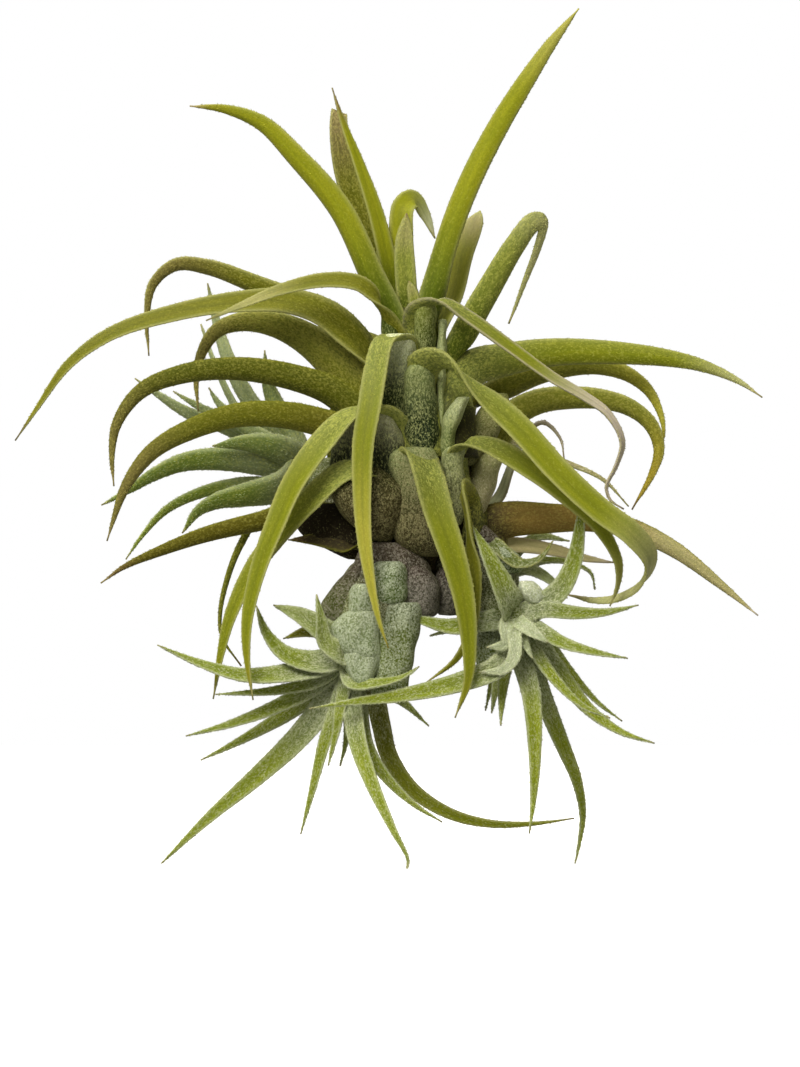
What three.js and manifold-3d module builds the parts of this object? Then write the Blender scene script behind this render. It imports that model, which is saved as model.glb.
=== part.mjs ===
// A curly ionantha air plant: a tall mother rosette of long curling leaves with young rosettes, its
// pups, at the foot. Millimetres, +Z up, the front of the plant faces -Y. The plant lies on three leaf
// tips, and the origin is on that surface, under the middle of the plant.
import * as THREE from "three";
import Module from "manifold-3d";

const wasm = await Module();
wasm.setup();

// Driving dimensions, in millimetres and degrees
const GAP = 0.3; // clear space between neighbouring pieces
const LEAF_THICK = 0.95; // a mother leaf at its root
const TIP_THICK = 0.65; // a mother leaf at its tip
const PUP_LEAF_THICK = 0.9;
const PUP_TIP_THICK = 0.65;
const TIP_WIDTH = 0.9;
const SHEATH_ROLL = 62; // half of the arc that a sheath bends round the heart
const BLADE_ROLL = 30; // half of the arc of a blade's channel
const PUP_ROLL = 38;
const LAYER = 1.35; // how far an outer sheath lies outside an inner one
const FOOT_CUT = 0; // height at which the three resting tips are flat
const DEPTH_MIDDLE = 4.7; // the middle of the plant lies this far behind the middle of its heart
const CUT_SMOOTHING = 0.05; // slivers thinner than this, left by a cut, are merged away
const RING_BEND = 16; // a swept band takes a ring each time it has bent by this
const RING_RUN = 9; // or has run on by this
const TRIES_PER_SPAN = 6;
const LOOK_FROM = 0.1; // shares of a leaf's length between which its face turns to its look
const LOOK_TO = 0.3;
const SHEATH_SHARE = 0.22; // share of a leaf's length over which its sheath narrows to the blade
const SHEATH_FALL = 1.5; // how sharply it narrows there
const TIP_FALL = 2.6; // the larger, the longer a blade keeps its width
const PUP_TIP_FALL = 2.2;
const PUP_ROOT_WIDTH = 0.75; // a pup leaf's width at its root, as a share of its blade
const BACK_POINTS = 4; // points across the back of a mother leaf
const PUP_BACK_POINTS = 3;
const HEART_SIDES = 14;
const PUP_SIDES = 10;
const BRANCH_SIDES = 8;
const BRANCH_RADIUS = 1.5; // of the short branch that carries a pup

// The heart: its axis leans a little to the left, and its radius falls from the bulb to the crown
const HEART_FOOT = new THREE.Vector3(7.3, 0, 51.7);
const HEART_CROWN = new THREE.Vector3(4, 0, 90.8);
const HEART_OUTLINE = [
  // height above the resting surface, radius
  [48, 2.2],
  [50, 4.6],
  [53, 8],
  [58, 9],
  [65, 7.6],
  [75, 5],
  [82, 3.8],
  [88, 2.8],
  [93, 1.5],
];

// Colours
const OLIVE = 0x7c7a1c;
const BRIGHT = 0x9aa32a;
const DEEP = 0x5c6620;
const BROWN_OLIVE = 0x6b5a1e;
const SILVER = 0x8fa37a;
const DRY = 0x8d8274;
const STEM = 0x55492f;

// Which way the upper face of a blade looks just beyond its sheath. Leaves that fold over in front
// show their face, and the side leaves behind them show their back.
const SHOWS_FACE = [0, -0.75, 0.65];
const SHOWS_BACK = [0, 0.85, 0.5];

const deg = THREE.MathUtils.degToRad;
const vec = ([x, y, z]) => new THREE.Vector3(x, y, z);

function solid(positions, indices) {
  const mesh = new wasm.Mesh({
    numProp: 3,
    vertProperties: new Float32Array(positions),
    triVerts: new Uint32Array(indices),
  });
  return new wasm.Manifold(mesh);
}

function heartAxis(height) {
  const share = (height - HEART_FOOT.z) / (HEART_CROWN.z - HEART_FOOT.z);
  return new THREE.Vector3().lerpVectors(HEART_FOOT, HEART_CROWN, share);
}

function heartRadius(height) {
  const rows = HEART_OUTLINE;
  if (height <= rows[0][0]) return rows[0][1];
  for (let i = 1; i < rows.length; i++) {
    const [low, lowRadius] = rows[i - 1];
    const [high, highRadius] = rows[i];
    if (height <= high) {
      return THREE.MathUtils.mapLinear(height, low, high, lowRadius, highRadius);
    }
  }
  return rows.at(-1)[1];
}

// A point on the heart's side, where a sheath of the given layer lies. Azimuth 0 is +X, 270 the front.
function seat(azimuth, height, layer) {
  const reach = heartRadius(height) + GAP + LEAF_THICK / 2 + layer * LAYER;
  const out = new THREE.Vector3(Math.cos(deg(azimuth)), Math.sin(deg(azimuth)), 0);
  return heartAxis(height).addScaledVector(out, reach);
}

// Where a band takes a ring: at its ends, and wherever it has bent or run on far enough
function ringPlaces(curve, spans) {
  const tries = spans * TRIES_PER_SPAN;
  const places = [0];
  let bent = 0;
  let gone = 0;
  let point = curve.getPoint(0);
  let tangent = curve.getTangent(0);
  for (let i = 1; i < tries; i++) {
    const nextPoint = curve.getPoint(i / tries);
    const nextTangent = curve.getTangent(i / tries);
    bent += nextTangent.angleTo(tangent);
    gone += nextPoint.distanceTo(point);
    point = nextPoint;
    tangent = nextTangent;
    if (bent > deg(RING_BEND) || gone > RING_RUN) {
      places.push(i / tries);
      bent = 0;
      gone = 0;
    }
  }
  const end = curve.getPoint(1);
  if (point.distanceTo(end) + gone < RING_RUN / 4 && places.length > 2) places.pop();
  places.push(1);
  return places;
}

// A band swept along a midrib. The section is an arc open towards the face side, with the midrib in
// the middle of its back. The face turns from its side at the root to the look direction, and keeps
// that turn as the band bends on. grow widens the band on every side, for cutting a neighbour clear.
function sweep({ midrib, face, look, width, thick, roll, backPoints, grow = 0 }) {
  const curve = new THREE.CatmullRomCurve3(midrib, false, "centripetal");
  const places = ringPlaces(curve, midrib.length - 1);
  const points = places.map((place) => curve.getPoint(place));
  const tangents = places.map((place) => curve.getTangent(place));
  const steps = places.length - 1;
  const along = [0];
  for (let i = 1; i <= steps; i++) {
    along.push(along[i - 1] + points[i].distanceTo(points[i - 1]));
  }
  points[0].addScaledVector(tangents[0], -grow);
  points[steps].addScaledVector(tangents[steps], grow);

  const positions = [];
  const normal = face.clone();
  const square = (v, tangent) => v.addScaledVector(tangent, -v.dot(tangent)).normalize();
  let looking = !look;
  for (let i = 0; i <= steps; i++) {
    const share = along[i] / along[steps];
    const tangent = tangents[i];
    square(normal, tangent);
    let up = normal.clone();
    if (!looking) {
      const turned = THREE.MathUtils.smoothstep(share, LOOK_FROM, LOOK_TO);
      up = square(up.lerp(square(look.clone(), tangent), turned), tangent);
      if (share >= LOOK_TO) {
        normal.copy(up);
        looking = true;
      }
    }
    const side = new THREE.Vector3().crossVectors(tangent, up);
    const half = Math.max(width(share), TIP_WIDTH) / 2;
    const bend = deg(roll(share));
    const radius = half / Math.sin(bend);
    const deep = Math.min(thick(share) / 2, radius * 0.8) + grow;
    const reach = bend + grow / radius;
    const ring = (offset, count, sign) => {
      for (let k = 0; k < count; k++) {
        const angle = sign * reach * ((2 * k) / (count - 1) - 1);
        const r = radius + offset;
        const point = points[i]
          .clone()
          .addScaledVector(up, radius - r * Math.cos(angle))
          .addScaledVector(side, r * Math.sin(angle));
        positions.push(point.x, point.y, point.z);
      }
    };
    ring(deep, backPoints, 1);
    ring(-deep, backPoints - 1, -1);
  }
  const around = 2 * backPoints - 1;
  const indices = [];
  for (let i = 0; i < steps; i++) {
    for (let k = 0; k < around; k++) {
      const next = (k + 1) % around;
      const a = i * around + k;
      const b = i * around + next;
      const c = a + around;
      const d = b + around;
      indices.push(a, d, b, a, c, d);
    }
  }
  // The ends are closed by strips from back to face, because the section is hollowed
  const last = steps * around;
  for (let k = 0; k < backPoints - 1; k++) {
    const outer = k;
    const outerNext = k + 1;
    const inner = around - 1 - Math.min(k, backPoints - 2);
    const innerNext = around - 1 - Math.min(k + 1, backPoints - 2);
    indices.push(outer, outerNext, inner);
    indices.push(last + outer, last + inner, last + outerNext);
    if (innerNext !== inner) {
      indices.push(outerNext, innerNext, inner);
      indices.push(last + outerNext, last + inner, last + innerNext);
    }
  }
  return solid(positions, indices);
}

// A leaf's width: the sheath flares at the root, the blade keeps its width and runs out to the tip
function bladeWidth(blade, sheath) {
  return (share) => {
    const flare = Math.max(0, 1 - share / SHEATH_SHARE) ** SHEATH_FALL;
    const taper = 1 - share ** TIP_FALL;
    return (blade + (sheath - blade) * flare) * taper;
  };
}

const motherRoll = (share) => THREE.MathUtils.lerp(SHEATH_ROLL, BLADE_ROLL, Math.min(1, share * 4));

// A mother leaf: where its sheath sits on the heart, then the midrib of its blade out to the tip
function motherLeaf(spec, grow = 0) {
  const { at, rise, blade, layer = 0, sheath = blade * 1.35 } = spec;
  const [foot, top] = rise;
  const root = [seat(at, foot, layer), seat(at, (foot + top) / 2, layer), seat(at, top, layer)];
  const inward = heartAxis(foot).sub(root[0]);
  return sweep({
    midrib: [...root, ...spec.path.map(vec)],
    face: inward,
    look: spec.look && vec(spec.look),
    width: bladeWidth(blade, sheath),
    thick: (share) => THREE.MathUtils.lerp(LEAF_THICK, TIP_THICK, share),
    roll: motherRoll,
    backPoints: BACK_POINTS,
    grow,
  });
}

// A pup leaf: from the fan's centre out to the tip, its face turned to the pup's own facing
function pupLeaf(pup, spec, grow = 0) {
  const [blade, ...path] = spec;
  const widen = (share) => Math.min(1, PUP_ROOT_WIDTH + 2 * share);
  return sweep({
    midrib: [vec(pup.centre), ...path.map(vec)],
    face: vec(pup.facing),
    width: (share) => blade * (1 - share ** PUP_TIP_FALL) * widen(share),
    thick: (share) => THREE.MathUtils.lerp(PUP_LEAF_THICK, PUP_TIP_THICK, share),
    roll: () => PUP_ROLL,
    backPoints: PUP_BACK_POINTS,
    grow,
  });
}

// A body of revolution round the line from foot to top, from rows of share along the line and radius
function turned(foot, top, rows, sides, grow = 0) {
  const axis = top.clone().sub(foot);
  const length = axis.length();
  const profile = rows.map(([share, radius]) => new THREE.Vector2(radius + grow, share * length));
  profile[0].y -= grow;
  profile.at(-1).y += grow;
  const turn = new THREE.Quaternion().setFromUnitVectors(new THREE.Vector3(0, 1, 0), axis.normalize());
  const positions = [];
  for (const { x, y } of profile) {
    for (let k = 0; k < sides; k++) {
      const angle = (2 * Math.PI * k) / sides;
      const point = new THREE.Vector3(x * Math.cos(angle), y, -x * Math.sin(angle));
      point.applyQuaternion(turn).add(foot);
      positions.push(point.x, point.y, point.z);
    }
  }
  const indices = [];
  for (let i = 0; i < profile.length - 1; i++) {
    for (let k = 0; k < sides; k++) {
      const next = (k + 1) % sides;
      const a = i * sides + k;
      const b = i * sides + next;
      indices.push(a, b, b + sides, a, b + sides, a + sides);
    }
  }
  const last = (profile.length - 1) * sides;
  for (let k = 1; k < sides - 1; k++) {
    indices.push(0, k + 1, k);
    indices.push(last, last + k, last + k + 1);
  }
  return solid(positions, indices);
}

// The mother's leaves, from the innermost out. at: azimuth of the sheath, rise: its lower and upper
// height on the heart, blade: width, path: the midrib beyond the sheath.
const MOTHER_LEAVES = {
  heart_folded: {
    colour: BRIGHT, at: 85, rise: [84, 91], blade: 4.2,
    path: [
      [2.3, 2.2, 98], [2.4, 2.6, 106], [2.8, 3.2, 111.4], [4.3, 5, 112.6], [6, 6.6, 109.5],
      [7.9, 7.4, 104.6],
    ],
  },
  top_slim: {
    colour: BRIGHT, at: 165, rise: [82, 90], blade: 3.7,
    look: [0.5, -0.9, 0.2],
    path: [[0.2, 0.8, 98], [-2, 1, 108], [-5, 1, 117], [-7.6, 1, 124], [-9.3, 1, 129.6]],
  },
  top_left: {
    colour: BRIGHT, at: 205, rise: [80, 89], blade: 4.6,
    look: [0.3, 0.9, 0.3],
    path: [
      [-2.8, -2.8, 98], [-8, -3.4, 109], [-15.5, -3.4, 118], [-21, -3.2, 123.4], [-27, -3, 125.8],
      [-33, -3, 126.4],
    ],
  },
  top_right: {
    colour: BRIGHT, at: 320, rise: [80, 89], blade: 4.9,
    look: [-0.3, 0.95, 0],
    path: [[8.2, -3.2, 98], [12, -4, 110], [17.5, -5, 121.5], [26.5, -7, 135.8], [31.7, -8, 142.4]],
  },
  top_back: {
    colour: SILVER, at: 130, rise: [80, 89], blade: 4.6,
    look: [0.3, -0.9, 0.2],
    path: [
      [-1, 4.5, 97], [-4.5, 5.5, 107], [-7.5, 6.5, 117], [-8.3, 7, 124.2], [-8.2, 9.4, 125.4],
      [-7.6, 11.4, 121.5],
    ],
  },
  crossing_left: {
    colour: OLIVE, at: 222, rise: [79, 87], blade: 4,
    look: SHOWS_FACE,
    path: [
      [-1, -6, 92.5], [-4.5, -7.5, 96.3], [-10, -8.5, 97.1], [-17, -9, 95.8], [-24, -9, 93.2],
      [-30.2, -8.5, 90.6],
    ],
  },
  right_short: {
    colour: BRIGHT, at: 15, rise: [79, 88], blade: 3.8,
    look: [-0.4, -0.9, 0],
    path: [[10.8, 3, 95], [12.6, 3.6, 102], [14.8, 4.2, 107.8], [15.8, 6.2, 108.7], [16, 8.6, 105.5]],
  },
  front_arch: {
    colour: BRIGHT, at: 290, rise: [81, 89.5], blade: 4.1,
    look: [0.3, -0.5, 0.8],
    path: [
      [5.7, -5.6, 92.6], [8.6, -7.8, 93.6], [13, -8.6, 91], [20, -9, 86], [27, -9, 81], [32.5, -8.6, 77.8],
      [36.4, -8, 75], [38.8, -7.4, 70.4], [37.8, -7, 66.4], [36.3, -6.6, 63], [37, -6.2, 60.8],
      [39.2, -6, 59.3],
    ],
  },
  right_silver: {
    colour: SILVER, at: 346, rise: [74, 82], blade: 4.8, layer: 0.8, sheath: 7,
    look: [-0.3, 0.9, 0.3],
    path: [
      [13, -2.6, 88.6], [17.2, -2.8, 96.2], [21.2, -2.6, 103], [24.3, -2, 107], [26.1, -0.2, 106.9],
      [25.2, 0.6, 103], [22.8, 0.8, 97], [20.1, 0.8, 90.2],
    ],
  },
  long_left: {
    colour: OLIVE, at: 180, rise: [68, 78], blade: 4.5,
    look: SHOWS_FACE,
    path: [
      [-3, -0.6, 83], [-6.4, -1, 87.8], [-11, -1.5, 91.7], [-17, -2, 93.6], [-26, -3, 93.4],
      [-36, -4, 91.6],
      [-46, -5, 88.3], [-53, -5, 83.3], [-58.5, -5, 75.8], [-62, -5, 70.7],
    ],
  },
  back_left: {
    colour: OLIVE, at: 148, rise: [74, 84], blade: 4.5,
    look: SHOWS_BACK,
    path: [
      [-6, 5.5, 89], [-14, 8.5, 93.4], [-22, 10.5, 96.7], [-30, 11.5, 99.7], [-35.5, 11.5, 100.2],
      [-39.3, 11, 97], [-40.4, 10.5, 91], [-40.1, 10.5, 85],
    ],
  },
  wide_left: {
    colour: OLIVE, at: 190, rise: [64, 73], blade: 5,
    look: [0.1, 0.45, 0.9],
    path: [
      [-4.4, 0.6, 78.6], [-9.3, 2, 84], [-14, 3, 87.8], [-18.8, 3.6, 90], [-24, 4, 90.6], [-28.4, 4, 89.2],
      [-31, 4, 85.6], [-32, 4, 81.4], [-31.7, 4, 75.6],
    ],
  },
  front_hanging: {
    colour: BRIGHT, at: 246, rise: [74, 84], blade: 4.4, layer: 0.6, sheath: 7,
    look: [-0.2, -1, 0.3],
    path: [
      [2.2, -7, 87.2], [-0.3, -9.6, 87], [-1.9, -11.6, 82], [-3, -13.4, 76], [-4, -14.6, 70],
      [-4.2, -15.8, 62], [-3.8, -16.8, 54], [-2.6, -17.6, 46], [-1.2, -18, 40], [0.1, -18, 36.3],
    ],
  },
  long_front: {
    colour: BRIGHT, at: 270, rise: [68, 80], blade: 5, layer: 1, sheath: 7.4,
    look: [0.2, -0.8, 0.6],
    path: [
      [6.4, -9, 83.2], [9.6, -11.8, 83.4], [14, -13.8, 79.2], [21, -16, 73], [28, -18, 65.2],
      [35, -19, 58.7], [40, -18.6, 55], [43, -15.6, 51], [42, -12, 47.3], [38, -8.4, 44.8],
      [34, -6.4, 44.3], [30, -5.4, 45],
    ],
  },
  long_right: {
    colour: BRIGHT, at: 354, rise: [68, 77], blade: 4.9, layer: 1.9,
    look: SHOWS_FACE,
    path: [
      [14, -0.6, 82.6], [20, 0.2, 84.3], [27, 1, 85.4], [35, 1, 85.5], [45, 0, 84.7], [52, -1, 83.3],
      [58, -2, 80.8], [62.3, -3, 77.9],
    ],
  },
  left_arch: {
    colour: DEEP, at: 198, rise: [60, 68], blade: 5.3,
    look: SHOWS_BACK,
    path: [
      [-4.8, -3.6, 74.6], [-9, -4.4, 78.4], [-16, -5, 81], [-25, -5.4, 82.4], [-34, -5.2, 81.6],
      [-41, -4.8, 78.8], [-45, -4.4, 73.5], [-45.9, -4.2, 68], [-45.6, -4.2, 63.1],
    ],
  },
  right_back: {
    colour: OLIVE, at: 22, rise: [66, 74], blade: 4.4, layer: 1, sheath: 8,
    look: SHOWS_BACK,
    path: [
      [15, 5.4, 77.2], [20, 6.8, 79.6], [25, 7.6, 81.8], [30, 7.8, 83], [35, 7.8, 83.2], [40, 7.6, 81.8],
      [43.4, 7.2, 79.2], [45.4, 6.6, 75.6], [46.1, 6.2, 72.4], [45.9, 6, 70],
    ],
  },
  left_broad: {
    colour: BROWN_OLIVE, at: 204, rise: [58, 67], blade: 5.6, layer: 0.8, sheath: 8.4,
    look: SHOWS_BACK,
    path: [
      [-5, -7, 71], [-10, -7.6, 73], [-17, -8, 74.6], [-25, -8, 74.6], [-33, -7.4, 72.2], [-39.2, -7, 68.6],
      [-43.4, -6.6, 63.2], [-45.6, -6.2, 57.5], [-46.7, -6, 54],
    ],
  },
  front_left: {
    colour: BRIGHT, at: 232, rise: [63, 72], blade: 5.2, layer: 0.7, sheath: 7.6,
    look: [-0.3, -0.8, 0.5],
    path: [
      [-1.6, -9.4, 75.4], [-6, -11.4, 74.6], [-11, -13, 69.8], [-15.5, -14, 63.3], [-18.5, -14.8, 56.5],
      [-21.5, -15.2, 48.5], [-23.2, -15.8, 40.5], [-23.2, -16.2, 34], [-22.3, -16.4, 27.7],
    ],
  },
  second_front: {
    colour: BRIGHT, at: 312, rise: [58, 66], blade: 4.4, layer: 0.4,
    look: SHOWS_FACE,
    path: [
      [12.6, -9.4, 69.8], [17, -11.6, 69.4], [24, -13.2, 65.4], [30, -13.8, 60.8], [35, -14, 56],
      [38, -13.2, 50.5], [38, -12.2, 46.5], [36.8, -11.4, 43.2],
    ],
  },
  right_curl: {
    colour: OLIVE, at: 22, rise: [55, 61], blade: 4.6, sheath: 6.4,
    look: SHOWS_BACK,
    path: [
      [16.2, 6, 65.4], [17.8, 6, 70], [20.6, 4.6, 74.6], [25, 3.4, 77], [30.5, 2.8, 77.7], [36, 2.4, 77.4],
      [40.5, 2, 76], [43.8, 2, 73.2], [45.1, 2, 69.4], [44.1, 2, 65.4], [40.7, 2, 59.2],
    ],
  },
  front_short: {
    colour: BRIGHT, at: 262, rise: [56, 64], blade: 5.4, layer: 1, sheath: 7.4,
    look: [0.1, -1, 0.3],
    path: [
      [4.9, -12, 67.6], [6.4, -15, 64.6], [8.7, -16.6, 57.5], [10.7, -17.4, 51.5], [12.4, -17.6, 45],
      [13.3, -17.6, 38], [13.2, -17.6, 31], [11.1, -17.6, 24.8],
    ],
  },
  mid_left: {
    colour: OLIVE, at: 230, rise: [54, 62], blade: 5, layer: 1, sheath: 7.6,
    look: [-0.3, -0.8, 0.4],
    path: [
      [-3.6, -10, 65.6], [-7.5, -11, 65], [-12.5, -10.8, 60.9], [-18, -10.2, 54.9], [-22.6, -9.8, 48.7],
      [-26, -9.8, 41.5], [-27.6, -9.8, 35.5], [-29, -9.6, 27.8],
    ],
  },
  behind_front: {
    colour: OLIVE, at: 318, rise: [54, 61], blade: 3.2, layer: 1, sheath: 5,
    look: [0.2, -0.9, 0.2],
    path: [
      [12.6, -12.4, 62.4], [13.4, -13.6, 58], [14, -14, 51.5], [14.3, -14, 45], [13.6, -13.6, 39],
      [11.3, -12.6, 34.5], [6.2, -11.6, 30.4],
    ],
  },
  low_right: {
    colour: BROWN_OLIVE, at: 355, rise: [52, 56], blade: 4.8, layer: 0.6,
    look: SHOWS_BACK,
    path: [
      [20, -1, 57.2], [27, -0.4, 57.6], [34, 0, 57.4], [41, 0, 55.8], [48, -1, 52.3], [55, -2, 47],
      [61.6, -3, 41.6],
    ],
  },
  low_left: {
    colour: BROWN_OLIVE, at: 198, rise: [52, 56], blade: 4.2, layer: 0.6,
    look: SHOWS_BACK,
    path: [
      [-8.5, -4.4, 58], [-15, -4.6, 58.3], [-22, -4.6, 56.9], [-30, -4.4, 55], [-38, -4.2, 52.2],
      [-44, -4, 49.6], [-47.8, -4, 47],
    ],
  },
  dry_sheath: {
    colour: BROWN_OLIVE, at: 222, rise: [50, 51.6], blade: 4.6, sheath: 5,
    look: [0, -0.9, 0.4],
    path: [[-3.4, -5.6, 52.4], [-8, -6, 53.6], [-12.6, -6, 54.2], [-16.6, -5.8, 54.2]],
  },
  thin_dark: {
    colour: DEEP, at: 178, rise: [51, 54], blade: 1.9, sheath: 3,
    look: SHOWS_BACK,
    path: [
      [-9, 1.2, 56.4], [-16, 1, 59], [-21.3, 0, 58], [-24.4, -1.6, 53.5], [-26.6, -3, 48], [-27.9, -4, 42],
      [-27.6, -4.6, 38], [-24.4, -5, 33.2],
    ],
  },
  grey_curl: {
    colour: DRY, at: 48, rise: [54, 57], blade: 2.8, sheath: 3,
    look: [0, -1, 0.2],
    path: [
      [18.6, 10, 61], [20.6, 10, 66], [23.4, 9, 72.2], [26, 8.2, 73.8], [28.8, 7.6, 71.2],
      [29.5, 7, 67.4],
    ],
  },
  thin_back: {
    colour: SILVER, at: 66, rise: [60, 65], blade: 1.9, sheath: 3,
    look: SHOWS_FACE,
    path: [[16, 12.6, 69.6], [22, 13.6, 70.3], [28, 12.4, 67.8], [36, 10.4, 64.3], [40.3, 9.4, 59.8]],
  },
  small_right: {
    colour: SILVER, at: 330, rise: [50.5, 53], blade: 3.2, sheath: 4,
    look: SHOWS_FACE,
    path: [[17.6, -8, 53.2], [21.6, -10, 50.2], [25, -11, 50.9], [27.3, -12, 54]],
  },
  dry_stalk: {
    colour: DRY, at: 8, rise: [49.5, 51], blade: 3.2, sheath: 3.2,
    look: SHOWS_FACE,
    path: [[20, 2.4, 53], [27, 2.6, 52.4], [33, 2.6, 51], [38, 2.4, 50.4]],
  },
  rear_1: {
    colour: OLIVE, at: 92, rise: [73, 82], blade: 4.4,
    path: [[4, 9, 89.6], [3, 16, 93.4], [1.5, 24, 90.6], [0.6, 29.6, 82], [0.6, 30.4, 74]],
  },
  rear_2: {
    colour: OLIVE, at: 70, rise: [66, 75], blade: 4.4,
    path: [[8.4, 11, 82], [9.2, 18, 84.6], [9, 26, 80], [8.2, 30.6, 70], [8, 30.8, 61]],
  },
  rear_3: {
    colour: DEEP, at: 118, rise: [63, 72], blade: 4.4,
    path: [[-1.6, 11, 77.6], [-5.6, 18, 80.2], [-8.4, 25, 75.6], [-9.4, 30, 66], [-9, 31, 57]],
  },
  rear_4: {
    colour: DEEP, at: 98, rise: [56, 64], blade: 4.6,
    path: [[2.6, 14, 70.6], [0.6, 21, 70.4], [-1, 27.6, 62.6], [-1.6, 31, 51], [-1, 31, 42]],
  },
  rear_5: {
    colour: BROWN_OLIVE, at: 55, rise: [55, 62], blade: 4.4,
    path: [[13, 12.6, 67.4], [14.6, 20, 68.4], [14, 27, 61.6], [12.6, 31, 50], [12, 31, 41]],
  },
};

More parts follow.
